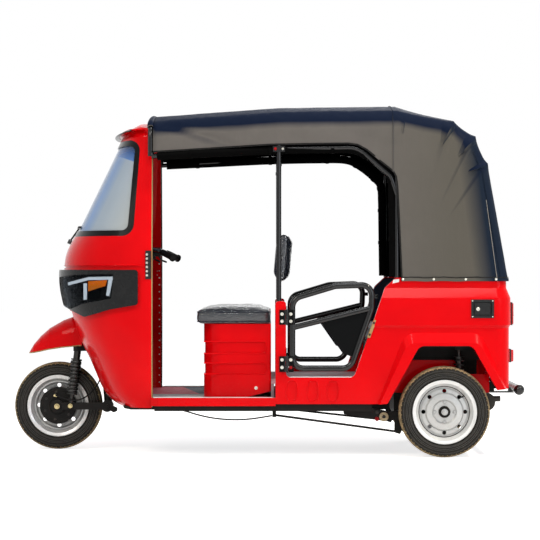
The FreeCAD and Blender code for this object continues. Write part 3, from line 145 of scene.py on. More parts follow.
# Stoved enamel on pressed steel: deep gloss, faint orange peel, a little road dust low down
def makeRedEnamel():
    material, tree, output = newMaterial("stovedRedEnamel")
    place = placeMm(tree)
    cloud = lumps(tree, place, 180, 4)
    colour = blendColours(tree, cloud, linear(paintLook["redColour"]), linear(paintLook["deepRed"]))
    height = addNode(tree, "ShaderNodeSeparateXYZ", None, {0: place}).outputs["Z"]
    low = addNode(tree, "ShaderNodeMapRange", None,
                  {"Value": height, "From Min": paintLook["dustTop"], "From Max": 230.0}).outputs["Result"]
    specks = ramp(tree, lumps(tree, place, 9, 6, 0.7), [(0.5, grey(0)), (0.8, grey(0.14))])
    dust = addNode(tree, "ShaderNodeMath", {"operation": "MULTIPLY"}, {0: low, 1: specks}).outputs[0]
    colour = blendColours(tree, dust, colour, linear(paintLook["roadDust"]))
    rough = patchyRough(tree, place, 60, 5, 0.16, 0.26)
    peel = bump(tree, lumps(tree, place, paintLook["orangePeelMm"], 2), 0.05, 0.35)
    wave = bump(tree, lumps(tree, place, paintLook["waveMm"], 1), 3.0, 0.25, peel)
    dressShader(tree, output, {"Base Color": colour, "Roughness": rough, "Normal": wave, "IOR": 1.5,
                               "Specular IOR Level": 0.12, "Specular Tint": linear("#ff1a20"),
                               "Coat Weight": 0.11, "Coat Roughness": 0.05, "Coat IOR": 1.5})
    return material


# Powder coat on steel tube and plate: satin, finely pebbled, greyed where dust settles
def makePowderCoat(name, colourHex, roughness, dustShare, shine=0.12):
    material, tree, output = newMaterial(name)
    place = placeMm(tree)
    dusty = addNode(tree, "ShaderNodeMath", {"operation": "MULTIPLY"},
                    {0: facing(tree, "Z", 0.2, 1.0), 1: lumps(tree, place, 14, 6, 0.7)}).outputs[0]
    dusty = addNode(tree, "ShaderNodeMath", {"operation": "MULTIPLY"}, {0: dusty, 1: dustShare}).outputs[0]
    colour = blendColours(tree, dusty, linear(colourHex), linear("#7c766c"))
    rough = patchyRough(tree, place, 25, 5, roughness, roughness + 0.14)
    pebble = bump(tree, lumps(tree, place, 1.4, 2), 0.03, 0.3)
    dressShader(tree, output, {"Base Color": colour, "Roughness": rough, "Normal": pebble, "IOR": 1.5,
                               "Specular IOR Level": shine})
    return material


# Moulded ABS, black and polished: glossy with the faint flow of the mould
def makeGlossPlastic():
    material, tree, output = newMaterial("mouldedBlackAbs")
    place = placeMm(tree)
    colour = blendColours(tree, lumps(tree, place, 80, 3), linear("#0f1011"), linear("#191a1b"))
    rough = ramp(tree, lumps(tree, place, 40, 5), [(0.3, grey(0.2)), (0.75, grey(0.34))])
    dressShader(tree, output, {"Base Color": colour, "Roughness": rough, "IOR": 1.53,
                               "Specular IOR Level": 0.18,
                               "Normal": bump(tree, lumps(tree, place, 9, 2), 0.04, 0.3)})
    return material


# PVC-coated polyester cloth: leathery print, soft sheen; navy painted reflection of the sky where it faces
# up, and painted shade darkening it towards the rear and on rear-facing parts
clothLook = {"sideColour": "#595653", "paleColour": "#6a6662", "paintedSkyReflection": "#0b1528",
             "paintedBackShade": "#1a2330", "paintedRearShade": "#57544d", "threadMm": 1.6, "creaseMm": 42}


def makeCoatedCloth():
    material, tree, output = newMaterial("pvcCoatedCloth")
    place = placeMm(tree)
    cloud = lumps(tree, place, 150, 5, 0.6)
    side = blendColours(tree, cloud, linear(clothLook["sideColour"]), linear(clothLook["paleColour"]))
    spot = addNode(tree, "ShaderNodeSeparateXYZ", None, {0: place}).outputs
    # Painted shade: the sides grow darker towards the rear
    rearShadeShare = addNode(tree, "ShaderNodeMapRange", None,
                        {"Value": spot["X"], "From Min": 500.0, "From Max": 1000.0}).outputs["Result"]
    side = blendColours(tree, rearShadeShare, side, linear(clothLook["paintedRearShade"]))
    # Painted shade: dark blue-grey on rear-facing cloth, graded in towards the back end
    lean = addNode(tree, "ShaderNodeMath", {"operation": "MULTIPLY_ADD"},
                   {0: spot["Z"], 1: 0.138, 2: spot["X"]}).outputs[0]
    backShadeShare = addNode(tree, "ShaderNodeMapRange", None,
                        {"Value": lean, "From Min": 1232.0, "From Max": 1332.0}).outputs["Result"]
    colour = blendColours(tree, facing(tree, "X", 0.25, 0.7), side, linear(clothLook["paintedBackShade"]))
    colour = blendColours(tree, backShadeShare, colour, linear(clothLook["paintedBackShade"]))
    # Painted reflection: navy sky colour where the cloth faces up
    colour = blendColours(tree, facing(tree, "Z", 0.03, 0.38), colour, linear(clothLook["paintedSkyReflection"]))
    rough = patchyRough(tree, place, 34, 5, 0.5, 0.64)
    grain = addNode(tree, "ShaderNodeTexVoronoi", {"feature": "DISTANCE_TO_EDGE"},
                    {"Vector": place, "Scale": 1 / clothLook["threadMm"]}).outputs["Distance"]
    fine = bump(tree, grain, 0.25, 0.45)
    crease = bump(tree, lumps(tree, place, clothLook["creaseMm"], 3, 0.45, (1, 1, 0.35)), 2.6, 0.6, fine)
    dressShader(tree, output, {"Base Color": colour, "Roughness": rough, "Normal": crease, "IOR": 1.5,
                               "Specular IOR Level": 0.04})
    return material


# Calendered vinyl seat cover: navy black with a fine leather print
def makeSeatVinyl():
    material, tree, output = newMaterial("calenderedSeatVinyl")
    place = placeMm(tree)
    colour = blendColours(tree, lumps(tree, place, 70, 4), linear("#151a24"), linear("#1f2531"))
    cells = addNode(tree, "ShaderNodeTexVoronoi", None, {"Vector": place, "Scale": 0.45}).outputs["Distance"]
    rough = patchyRough(tree, place, 20, 4, 0.32, 0.46)
    dressShader(tree, output, {"Base Color": colour, "Roughness": rough, "IOR": 1.5,
                               "Specular IOR Level": 0.14, "Normal": bump(tree, cells, 0.3, 0.5)})
    return material


# Polythene film left on the new seat: clear, crinkled, all highlights
def makeClearFilm():
    material, tree, output = newMaterial("crinkledPolytheneFilm")
    place = placeMm(tree)
    warped = addNode(tree, "ShaderNodeVectorMath", {"operation": "ADD"},
                     {0: place, 1: addNode(tree, "ShaderNodeTexNoise", None,
                                           {"Vector": place, "Scale": 0.03}).outputs["Color"]}).outputs[0]
    folds = addNode(tree, "ShaderNodeTexVoronoi", {"feature": "DISTANCE_TO_EDGE"},
                    {"Vector": warped, "Scale": 1 / 26.0}).outputs["Distance"]
    normal = bump(tree, lumps(tree, place, 12, 4, 0.6), 2.2, 0.7, bump(tree, folds, 5.0, 0.8))
    clear = addNode(tree, "ShaderNodeBsdfTransparent", None, {"Color": linear("#f4f6f8")})
    gloss = addNode(tree, "ShaderNodeBsdfGlossy", None,
                    {"Color": linear("#ffffff"), "Roughness": 0.12, "Normal": normal})
    haze = addNode(tree, "ShaderNodeBsdfDiffuse", None, {"Color": linear("#c9cdd2"), "Normal": normal})
    edge = addNode(tree, "ShaderNodeFresnel", None, {"IOR": 1.5, "Normal": normal}).outputs[0]
    share = addNode(tree, "ShaderNodeMapRange", None,
                    {"Value": edge, "To Min": 0.018, "To Max": 0.95}).outputs["Result"]
    glossy = addNode(tree, "ShaderNodeMixShader", None,
                     {0: share, 1: clear.outputs[0], 2: gloss.outputs[0]})
    whole = addNode(tree, "ShaderNodeMixShader", None, {0: 0.026, 1: glossy.outputs[0], 2: haze.outputs[0]})
    tree.links.new(whole.outputs[0], output.inputs[0])
    return material


# Vulcanised tyre rubber: matt, brownish grey where dust sits in the tread
def makeTyreRubber():
    material, tree, output = newMaterial("vulcanisedTyreRubber")
    place = placeMm(tree)
    dust = ramp(tree, lumps(tree, place, 30, 6, 0.65), [(0.4, grey(0)), (0.8, grey(0.55))])
    colour = blendColours(tree, dust, linear("#1b1a18"), linear("#423e36"))
    rough = patchyRough(tree, place, 15, 4, 0.62, 0.82)
    dressShader(tree, output, {"Base Color": colour, "Roughness": rough, "IOR": 1.52,
                               "Specular IOR Level": 0.15,
                               "Normal": bump(tree, lumps(tree, place, 2.2, 3), 0.25, 0.5)})
    return material


# Road dust worked into the tread: tan over the rubber, thin where it has rubbed off
def makeTreadDust():
    material, tree, output = newMaterial("dustyTreadRubber")
    place = placeMm(tree)
    dust = ramp(tree, lumps(tree, place, 26, 5, 0.6), [(0.3, grey(0.25)), (0.6, grey(0.9))])
    colour = blendColours(tree, dust, linear("#2b2924"), linear("#a4906c"))
    dressShader(tree, output, {"Base Color": colour, "Roughness": 0.8, "IOR": 1.5, "Specular IOR Level": 0.1,
                               "Normal": bump(tree, lumps(tree, place, 2, 3), 0.3, 0.6)})
    return material


# Aluminium-flake wheel enamel on pressed steel: pale satin silver
def makeWheelEnamel(name, darkHex, paleHex):
    material, tree, output = newMaterial(name)
    place = placeMm(tree)
    flake = lumps(tree, place, 1.2, 1)
    colour = blendColours(tree, flake, linear(darkHex), linear(paleHex))
    grime = ramp(tree, lumps(tree, place, 22, 6, 0.7), [(0.55, grey(0)), (0.85, grey(0.4))])
    colour = blendColours(tree, grime, colour, linear("#77736b"))
    rough = patchyRough(tree, place, 30, 4, 0.3, 0.42)
    dressShader(tree, output, {"Base Color": colour, "Roughness": rough, "Metallic": 0.3,
                               "Coat Weight": 0.3, "Coat Roughness": 0.12,
                               "Normal": bump(tree, lumps(tree, place, 5, 2), 0.06, 0.4)})
    return material


# Rough or bright metals share one recipe: a colour, a range of roughness and a grain
def makeMetal(name, colourHex, stainHex, roughness, metallic, grainMm, stretch=(1, 1, 1), depthMm=0.1,
              shine=0.5):
    material, tree, output = newMaterial(name)
    place = placeMm(tree)
    stain = ramp(tree, lumps(tree, place, 28, 6, 0.7), [(0.45, grey(0)), (0.8, grey(0.7))])
    colour = blendColours(tree, stain, linear(colourHex), linear(stainHex))
    grain = lumps(tree, place, grainMm, 3, 0.5, stretch)
    rough = ramp(tree, grain, [(0.3, grey(roughness)), (0.7, grey(min(1.0, roughness + 0.16)))])
    dressShader(tree, output, {"Base Color": colour, "Roughness": rough, "Metallic": metallic,
                               "Specular IOR Level": shine, "Normal": bump(tree, grain, depthMm, 0.5)})
    return material


# Coloured acrylic with light inside: fluted for a lens, frosted for a diffuser
def makeAcrylic(name, colourHex, roughness, transmission, glow, fluteMm=0.0):
    material, tree, output = newMaterial(name)
    place = placeMm(tree)
    colour = blendColours(tree, lumps(tree, place, 14, 3), linear(colourHex), linear("#ffffff"), "MULTIPLY")
    normal = bump(tree, lumps(tree, place, 3, 2), 0.03, 0.3)
    if fluteMm:
        flutes = addNode(tree, "ShaderNodeTexWave", {"bands_direction": "Z"},
                         {"Vector": place, "Scale": 0.314 / fluteMm})
        normal = bump(tree, flutes.outputs["Fac"], 0.8, 0.8, normal)
    rough = patchyRough(tree, place, 18, 4, roughness, roughness + 0.06)
    dressShader(tree, output, {"Base Color": colour, "Roughness": rough, "IOR": 1.49, "Normal": normal,
                               "Transmission Weight": transmission,
                               "Emission Color": linear(colourHex), "Emission Strength": glow})
    return material


# Toughened screen glass: painted reflection of blue sky in its front half and pale sky behind, a slanted
# navy sun band on top
def makeScreenGlass():
    material, tree, output = newMaterial("skyPaintedScreenGlass")
    place = placeMm(tree)
    spot = addNode(tree, "ShaderNodeSeparateXYZ", None, {0: place}).outputs
    along = addNode(tree, "ShaderNodeMath", {"operation": "MULTIPLY_ADD"},
                    {0: spot["Z"], 1: -0.49, 2: spot["X"]}).outputs[0]
    inward = addNode(tree, "ShaderNodeMapRange", None,
                     {"Value": along, "From Min": -1620.0, "From Max": -1330.0}).outputs["Result"]
    # Painted reflection: blue sky in the front half, pale sky behind
    paintedSkyTint = ramp(tree, inward, [(0.0, linear("#a9b7c8")), (0.22, linear("#7ea9e2")), (0.4, linear("#b4c4d2")),
                               (1.0, linear("#c3c8c5"))])
    level = addNode(tree, "ShaderNodeMath", {"operation": "MULTIPLY_ADD"},
                    {0: spot["X"], 1: 0.38, 2: spot["Z"]}).outputs[0]
    upward = addNode(tree, "ShaderNodeMapRange", None,
                     {"Value": level, "From Min": 1294.0, "From Max": 1382.0}).outputs["Result"]
    band = ramp(tree, upward, [(0.0, linear("#5c8fd6")), (0.5, linear("#2f62a8")), (1.0, linear("#10284e"))])
    share = ramp(tree, upward, [(0.0, grey(0)), (0.06, grey(1))])
    paintedSkyTint = blendColours(tree, share, paintedSkyTint, band)
    film = ramp(tree, lumps(tree, place, 55, 5, 0.6), [(0.3, grey(0.03)), (0.8, grey(0.09))])
    clear = addNode(tree, "ShaderNodeBsdfTransparent", None, {"Color": linear("#dde6ee")})
    solid = addNode(tree, "ShaderNodeBsdfPrincipled", None,
                    {"Base Color": paintedSkyTint, "Roughness": film, "IOR": 1.52,
                     "Normal": bump(tree, lumps(tree, place, 300, 1), 1.5, 0.2)})
    mixed = addNode(tree, "ShaderNodeMixShader", None, {0: 0.66, 1: clear.outputs[0], 2: solid.outputs[0]})
    tree.links.new(mixed.outputs[0], output.inputs[0])
    return material


# Clear mouldings and flexible window sheet: see-through with a glossy skin
def makeClearSheet(name, tintHex, skinHex, share, roughness, rippleMm, shine=0.25):
    material, tree, output = newMaterial(name)
    place = placeMm(tree)
    clear = addNode(tree, "ShaderNodeBsdfTransparent", None, {"Color": linear(tintHex)})
    rough = patchyRough(tree, place, 30, 5, roughness, roughness + 0.08)
    skin = addNode(tree, "ShaderNodeBsdfPrincipled", None,
                   {"Base Color": linear(skinHex), "Roughness": rough, "IOR": 1.5,
                    "Specular IOR Level": shine,
                    "Normal": bump(tree, lumps(tree, place, rippleMm, 2), 0.8, 0.3)})
    mixed = addNode(tree, "ShaderNodeMixShader", None, {0: share, 1: clear.outputs[0], 2: skin.outputs[0]})
    tree.links.new(mixed.outputs[0], output.inputs[0])
    return material


# Ribbed floor rubber: grey in the tub with a pink cast that is painted reflection of the red body; by the
# driver a red, a navy and a grey-green field
def makeFloorRubber():
    material, tree, output = newMaterial("ribbedFloorRubber")
    place = placeMm(tree)
    cloud = lumps(tree, place, 60, 6, 0.7)
    # Painted reflection: the pink in the tub's grey rubber
    tub = ramp(tree, cloud, [(0.3, linear("#857c88")), (0.5, linear("#b49ca2")), (0.62, linear("#c87a7e")),
                             (0.8, linear("#c9bfc0"))])
    near = ramp(tree, cloud, [(0.35, linear("#97a5a9")), (0.6, linear("#bac2bf")),
                              (0.75, linear("#dcc0bb"))])
    spot = addNode(tree, "ShaderNodeSeparateXYZ", None, {0: place}).outputs
    slant = addNode(tree, "ShaderNodeMath", {"operation": "MULTIPLY_ADD"},
                    {0: spot["Y"], 1: 0.16, 2: spot["X"]}).outputs[0]
    navyShare = addNode(tree, "ShaderNodeMapRange", None,
                        {"Value": slant, "From Min": -386.0, "From Max": -374.0}).outputs["Result"]
    farShare = addNode(tree, "ShaderNodeMapRange", None,
                       {"Value": spot["Y"], "From Min": -180.0, "From Max": -150.0}).outputs["Result"]
    tubShare = addNode(tree, "ShaderNodeMapRange", None,
                       {"Value": spot["X"], "From Min": 0.0, "From Max": 20.0}).outputs["Result"]
    red = ramp(tree, cloud, [(0.3, linear("#cc3a50")), (0.7, linear("#e66e82"))])
    far = blendColours(tree, navyShare, red, linear("#141b3c"))
    colour = blendColours(tree, tubShare, blendColours(tree, farShare, near, far), tub)
    ribs = addNode(tree, "ShaderNodeTexWave", {"bands_direction": "Y"},
                   {"Vector": place, "Scale": 0.314 / 9.0}).outputs["Fac"]
    dressShader(tree, output, {"Base Color": colour, "Roughness": 0.6, "IOR": 1.5,
                               "Specular IOR Level": 0.2,
                               "Normal": bump(tree, ribs, 1.2, 0.8,
                                              bump(tree, lumps(tree, place, 3, 3), 0.3))})
    return material


# Extruded EPDM and hose rubber: black, matt, faintly bloomed
def makeTrimRubber(name, colourHex, roughness, bloomHex="#35332f", shine=0.12):
    material, tree, output = newMaterial(name)
    place = placeMm(tree)
    bloom = ramp(tree, lumps(tree, place, 12, 5, 0.6), [(0.45, grey(0)), (0.8, grey(0.35))])
    colour = blendColours(tree, bloom, linear(colourHex), linear(bloomHex))
    dressShader(tree, output, {"Base Color": colour, "Roughness": roughness, "IOR": 1.5,
                               "Specular IOR Level": shine,
                               "Normal": bump(tree, lumps(tree, place, 2, 2), 0.1, 0.5)})
    return material


red = makeRedEnamel()
tubeCoat = makePowderCoat("blackPowderCoatedTube", "#0a0b0c", 0.12, 0.03, 0.4)
plateCoat = makePowderCoat("blackPowderCoatedPlate", "#0a0b0c", 0.34, 0.03, 0.05)
chassisCoat = makePowderCoat("chassisBlackCoat", "#191817", 0.5, 0.5)
blackAbs = makeGlossPlastic()
coatedCloth = makeCoatedCloth()
seatVinyl = makeSeatVinyl()
clearFilm = makeClearFilm()
tyreRubber = makeTyreRubber()
treadDust = makeTreadDust()
wheelEnamel = makeWheelEnamel("silverWheelEnamel", "#c4c5c4", "#dedfdd")
# A darker copy of the wheel enamel for the dished disc: painted shade
discShadeEnamel = makeWheelEnamel("shadedDiscEnamel", "#a6a7a6", "#bebfbd")
castIron = makeMetal("paintedCastIron", "#161615", "#332d27", 0.55, 0.1, 1.8, depthMm=0.35, shine=0.15)
exhaustSteel = makeMetal("sootedExhaustSteel", "#3a3937", "#3d2c20", 0.5, 0.9, 4, depthMm=0.2)
springSteel = makeMetal("blackenedSpringSteel", "#2a2a29", "#3a342d", 0.2, 0.75, 3, shine=0.5)
darkReflector = makeMetal("smokedLampReflector", "#0b0d0f", "#060708", 0.3, 0.1, 30, depthMm=0.02,
                          shine=0.05)
nutSteel = makeMetal("dulledNutSteel", "#a3a4a3", "#6f6e6a", 0.3, 0.85, 2)
zincSteel = makeMetal("zincPlatedSteel", "#d4d2c8", "#a09c8e", 0.24, 0.9, 2)
darkBolt = makeMetal("blackenedBoltSteel", "#2a2928", "#564e45", 0.34, 0.85, 2)
aluminium = makeMetal("anodisedAluminiumTread", "#d7d8d6", "#a9a8a4", 0.28, 1.0, 0.8, (0.03, 1, 1))
brass = makeMetal("zincYellowSteel", "#c4b487", "#857752", 0.24, 1.0, 1.5)
screenGlass = makeScreenGlass()
lampCover = makeClearSheet("polycarbonateLampCover", "#d2d6da", "#0c0d0f", 0.12, 0.03, 160, 0.1)
windowSheet = makeClearSheet("flexiblePvcWindow", "#d5d9d6", "#d5d9d6", 0.42, 0.12, 45)
ledDiffuser = makeAcrylic("frostedLedDiffuser", "#f3f6f8", 0.3, 0.1, 0.9)
amberAcrylic = makeAcrylic("amberFlutedAcrylic", "#fb8410", 0.12, 0.15, 0.8, 4.0)
redAcrylic = makeAcrylic("redFlutedAcrylic", "#c0090f", 0.12, 0.15, 0.22, 5.0)
clearAcrylic = makeAcrylic("clearFlutedAcrylic", "#dfe3e4", 0.12, 0.3, 0.05, 5.0)
floorRubber = makeFloorRubber()
gasketRubber = makeTrimRubber("glossyGasketRubber", "#08090a", 0.2, "#0c0c0c", 0.13)
springPaint = makePowderCoat("glossBlackSpringPaint", "#0b0b0b", 0.1, 0.1, 0.5)
sealRubber = makeTrimRubber("extrudedEpdmSeal", "#121212", 0.5)
hoseRubber = makeTrimRubber("braidedHoseRubber", "#181818", 0.55)
# Paler rubber on the sidewall ribs: a painted highlight along the rings
ribHighlightRubber = makeTrimRubber("highlightSidewallRib", "#3b3a38", 0.4, "#4a4843", 0.3)
gripRubber = makeTrimRubber("mouldedGripRubber", "#1a1a1a", 0.68)
tanNylon = makeTrimRubber("tanNylonStriker", "#a98f5f", 0.42)
paleFibre = makeTrimRubber("palePressedFibre", "#b8a988", 0.6)
redBolt = makePowderCoat("redPaintedBolt", "#9c1418", 0.3, 0.1)
liningCloth = makeTrimRubber("blackLiningCloth", "#060606", 0.9, "#0b0b0b", 0.03)
navyLining = makeTrimRubber("navyTubLining", "#1d2638", 0.5)
threadCloth = makeTrimRubber("paleSeamPiping", "#8d8a84", 0.6)


# Every CAD node gets its real finish
finishes = {
    red: ["side_sills", "lower_cowl", "windscreen_frame", "visor", "seat_box", "quarter_left",
          "quarter_right", "rear_panel", "tailgate", "wheel_housings", "front_fender"],
    tubeCoat: ["roof_frame", "gate_left", "gate_right", "gate_hinges", "mirror_brackets", "wiper",
               "handlebar", "rear_bumper", "fuel_frame", "fuel_flap"],
    chassisCoat: ["chassis_frame", "wheel_box", "seat_deck", "trailing_arms", "steering_trunk",
                  "front_link"],
    blackAbs: ["headlamp_band", "dashboard"], screenGlass: ["windscreen_glass"],
    lampCover: ["headlamp_lenses"], windowSheet: ["canopy_window"], redAcrylic: ["tail_lamps"],
    gasketRubber: ["windscreen_gasket"], gripRubber: ["grips"], floorRubber: ["floor_pan"],
    hoseRubber: ["brake_hose", "control_cable"], coatedCloth: ["canopy"],
    seatVinyl: ["driver_cushion", "driver_backrest", "rear_cushion", "rear_backrest"],
    castIron: ["engine_block", "front_hub", "rear_left_hub", "rear_right_hub"],
    exhaustSteel: ["exhaust"], springSteel: ["front_shock", "rear_shocks"],
    tyreRubber: ["front_tyre", "rear_left_tyre", "rear_right_tyre"],
    wheelEnamel: ["front_rim", "rear_left_rim", "rear_right_rim"]}
for material, names in finishes.items():
    for name in names:
        mesh = nodes[name].data
        mesh.materials.clear()
        mesh.materials.append(material)


def linkNew(name, data):
    thing = bpy.data.objects.new(name, data)
    bpy.context.scene.collection.objects.link(thing)
    return thing


# Points are in millimetres in the row frame; pieces ride on a body by name
def addPiece(name, points, faces, material, body, angle=38):
    mesh = bpy.data.meshes.new(name)
    mesh.from_pydata([Vector(p) * mm for p in points], [], faces)
    shell = bmesh.new()
    shell.from_mesh(mesh)
    bmesh.ops.recalc_face_normals(shell, faces=shell.faces)
    shell.to_mesh(mesh)
    shell.free()
    for finish in material if isinstance(material, list) else [material]:
        mesh.materials.append(finish)
    mesh.polygons.foreach_set("use_smooth", [True] * len(mesh.polygons))
    mesh.set_sharp_from_angle(angle=math.radians(angle))
    piece = linkNew(name, mesh)
    if body:
        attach(piece, body)
    return piece


# A piece joined from shapes, each given as (points, faces)
def addShapes(name, shapes, material, body="body", angle=38):
    return addPiece(name, *joinShapes(shapes), material, body, angle)


# Joins shapes given as (points, faces) into one
def joinShapes(shapes):
    points, faces = [], []
    for morePoints, moreFaces in shapes:
        start = len(points)
        points += list(morePoints)
        faces += [tuple(index + start for index in face) for face in moreFaces]
    return points, faces


# Faces of a grid of rows by columns; either way may close on itself
def gridFaces(rows, columns, closeRows=False, closeColumns=True):
    faces = []
    for row in range(rows if closeRows else rows - 1):
        for column in range(columns if closeColumns else columns - 1):
            a, b = row * columns + column, row * columns + (column + 1) % columns
            nextRow = (row + 1) % rows
            faces.append((a, b, nextRow * columns + (column + 1) % columns, nextRow * columns + column))
    return faces


# A turned shape on an axis: profile is (radius, distance along), closed from end to end
def turnedShape(profile, centre, axis, steps=32, closed=True):
    axis = Vector(axis).normalized()
    side = axis.orthogonal().normalized()
    other = axis.cross(side)
    points = []
    for radius, along in profile:
        for step in range(steps):
            turn = 2 * math.pi * step / steps
            points.append(Vector(centre) + axis * along +
                          (side * math.cos(turn) + other * math.sin(turn)) * radius)
    return points, gridFaces(len(profile), steps, closeRows=closed)


# Bolt heads with washers; spots are (place, direction the head points)
def boltShapes(spots, radius, height, sides=6):
    shapes = []
    for place, way in spots:
        washer = [(0.1, 0), (radius * 1.45, 0), (radius * 1.45, height * 0.22), (radius, height * 0.24)]
        head = [(radius * 1.02, height * 0.24), (radius, height * 0.85), (radius * 0.82, height),
                (0.1, height * 1.02)]
        shapes.append(turnedShape(washer, place, way, 18, closed=False))
        shapes.append(turnedShape(head, place, way, sides, closed=False))
    return joinShapes(shapes)


def addBolts(name, spots, radius, height, material, body="body"):
    return addShapes(name, [boltShapes(spots, radius, height)], material, body)


def domeShapes(spots, radius, height):
    profile = [(0.1, -1), (radius, -1), (radius, height * 0.25), (radius * 0.87, height * 0.6),
               (radius * 0.55, height * 0.9), (0.1, height)]
    return joinShapes([turnedShape(profile, place, way, 16, closed=False) for place, way in spots])


# A constant section carried along a line; section is (across, up) and up leans to the hint
def sweptShape(path, section, hint=(0, 0, 1), closed=False):
    path = [Vector(p) for p in path]
    count = len(path)
    points = []
    for index, here in enumerate(path):
        before = path[index - 1] if closed or index > 0 else here
        after = path[(index + 1) % count] if closed or index < count - 1 else here
        along = (after - before).normalized()
        up = Vector(hint) - along * along.dot(Vector(hint))
        up.normalize()
        across = along.cross(up)
        points += [here + across * a + up * b for a, b in section]
    faces = gridFaces(count, len(section), closeRows=closed)
    if not closed:
        faces.append(tuple(range(len(section)))[::-1])
        faces.append(tuple(range((count - 1) * len(section), count * len(section))))
    return points, faces


def roundSection(radius, sides=10, flat=1.0):
    return [(radius * math.cos(2 * math.pi * i / sides), radius * flat * math.sin(2 * math.pi * i / sides))
            for i in range(sides)]


def stripSection(width, height):
    return [(-width / 2, 0), (width / 2, 0), (width / 2, height * 0.7), (width * 0.32, height),
            (-width * 0.32, height), (-width / 2, height * 0.7)]


# A line through points with rounded corners, given in any number of steps
def softLine(points, steps=8, closed=False):
    points = [Vector(p) for p in points]
    count = len(points)
    line = []
    for index in range(count if closed else count - 1):
        p0 = points[index - 1] if closed or index > 0 else points[index]
        p1, p2 = points[index], points[(index + 1) % count]
        p3 = points[(index + 2) % count] if closed or index < count - 2 else p2
        for step in range(steps):
            t = step / steps
            line.append(0.5 * ((2 * p1) + (p2 - p0) * t + (2 * p0 - 5 * p1 + 4 * p2 - p3) * t * t +
                               (3 * p1 - p0 - 3 * p2 + p3) * t ** 3))
    if not closed:
        line.append(points[-1])
    return line


# A flat outline in X and Z with some thickness along Y, its corners rounded
def plateShape(outline, yFrom, yTo, bevel=2.0):
    middle = Vector((sum(p[0] for p in outline), sum(p[1] for p in outline))) / len(outline)
    rings = []
    for y, inset in ((yFrom, bevel), (yFrom + math.copysign(bevel, yTo - yFrom), 0),
                     (yTo - math.copysign(bevel, yTo - yFrom), 0), (yTo, bevel)):
        for x, z in outline:
            away = Vector((x, z)) - middle
            spot = Vector((x, z)) - away.normalized() * inset
            rings.append((spot.x, y, spot.y))
    count = len(outline)
    faces = gridFaces(4, count)
    faces.append(tuple(range(count))[::-1])
    faces.append(tuple(range(3 * count, 4 * count)))
    return rings, faces


# Flat plates on the gates are duller than their tubes
for name in ("gate_left", "gate_right", "gate_hinges"):
    mesh = nodes[name].data
    mesh.materials.append(plateCoat)
    for face in mesh.polygons:
        face.material_index = 1 if abs(face.normal.y) > 0.995 and face.area > 1.5e-4 else 0


print("making the wheels")
axleZ = 240.0
wheelLook = {"treadBlocks": 60, "grooveDepth": 6.0, "innerDepth": 3.0, "grooveShare": 0.17,
             "boltCircle": 53.0}
wheels = {"front": (-1135.0, 0.0, "front_wheel"), "rear_left": (945.0, -575.0, "rear_left_wheel"),
          "rear_right": (945.0, 575.0, "rear_right_wheel")}
# Half of the tyre's outside, from the bead out to the middle of the tread: (radius, half width)
tyreHalf = [(154, 51.0), (166, 50.6), (171, 52.0), (173, 56.5), (177, 59.5), (184, 63.2), (188, 65.2),
            (190, 65.0), (199, 66.9), (207, 66.8), (208.5, 65.8), (211, 65.7), (213, 66.4), (220, 64.6),
            (226, 61.2), (230, 57.8), (234, 53.6), (236.6, 48), (238.2, 40), (238.9, 33), (239.2, 27),
            (239.3, 23.5), (232.6, 21.5), (232.6, 17.5), (239.4, 15.5), (239.6, 9), (239.6, 3)]


def treadCut(turn, y, radius):
    if radius < 224:
        return 0.0
    blocks = wheelLook["treadBlocks"]
    if abs(y) > 22:
        phase = (turn * blocks / (2 * math.pi) + 0.5 * (abs(y) - 22) / 34 + (0.5 if y > 0 else 0)) % 1
        depth = wheelLook["grooveDepth"] if phase < wheelLook["grooveShare"] else 0
        return depth * min(1.0, (radius - 222) / 6)
    if abs(y) < 15:
        phase = (turn * blocks / (2 * math.pi) + 0.3 * math.copysign(1, y) * abs(y) / 15) % 1
        return wheelLook["innerDepth"] if phase < wheelLook["grooveShare"] else 0.0
    return 0.0


def makeTyre(label):
    x, y, body = wheels[label]
    profile = [(r, w) for r, w in tyreHalf] + [(r, -w) for r, w in tyreHalf[::-1]]
    around = wheelLook["treadBlocks"] * 6
    points = []
    for radius, offset in profile:
        for step in range(around):
            turn = 2 * math.pi * (step + 0.5) / around
            r = radius - treadCut(turn, offset, radius)
            points.append((x + r * math.cos(turn), y + offset, axleZ + r * math.sin(turn)))
    piece = addPiece("tyre_" + label, points, gridFaces(len(profile), around), [tyreRubber, treadDust],
                     body, 30)
    centre = Vector((x, 0, axleZ)) * mm
    for face in piece.data.polygons:
        away = face.center - centre
        face.material_index = 1 if math.hypot(away.x, away.z) > 0.2285 else 0
    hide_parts(label + "_tyre")
    ribs = []
    # Raised rings on the sidewall, in paler rubber as a painted highlight
    for radius, width in ((181, 61.6), (186, 64.2), (195.5, 66.1), (203, 66.8), (216.5, 65.4)):
        rib = [(radius - 1.6, width - 1), (radius - 0.8, width + 1.1), (radius + 0.8, width + 1.1),
               (radius + 1.6, width - 1)]
        ribs += [turnedShape(rib, (x, y, axleZ), (0, way, 0), 96) for way in (-1, 1)]
    addShapes("sidewall_ribs_" + label, ribs, ribHighlightRubber, body, 60)


for label, (x, _, _) in wheels.items():
    makeTyre(label)
    rim = nodes[label + "_rim"].data
    # The disc inside the rim takes the darker enamel as painted shade
    rim.materials.append(discShadeEnamel)
    for face in rim.polygons:
        corners = [rim.vertices[i].co for i in face.vertices]
        reach = max(math.hypot(p.x - x * mm, p.z - axleZ * mm) for p in corners)
        face.material_index = 1 if reach < 0.1295 else 0
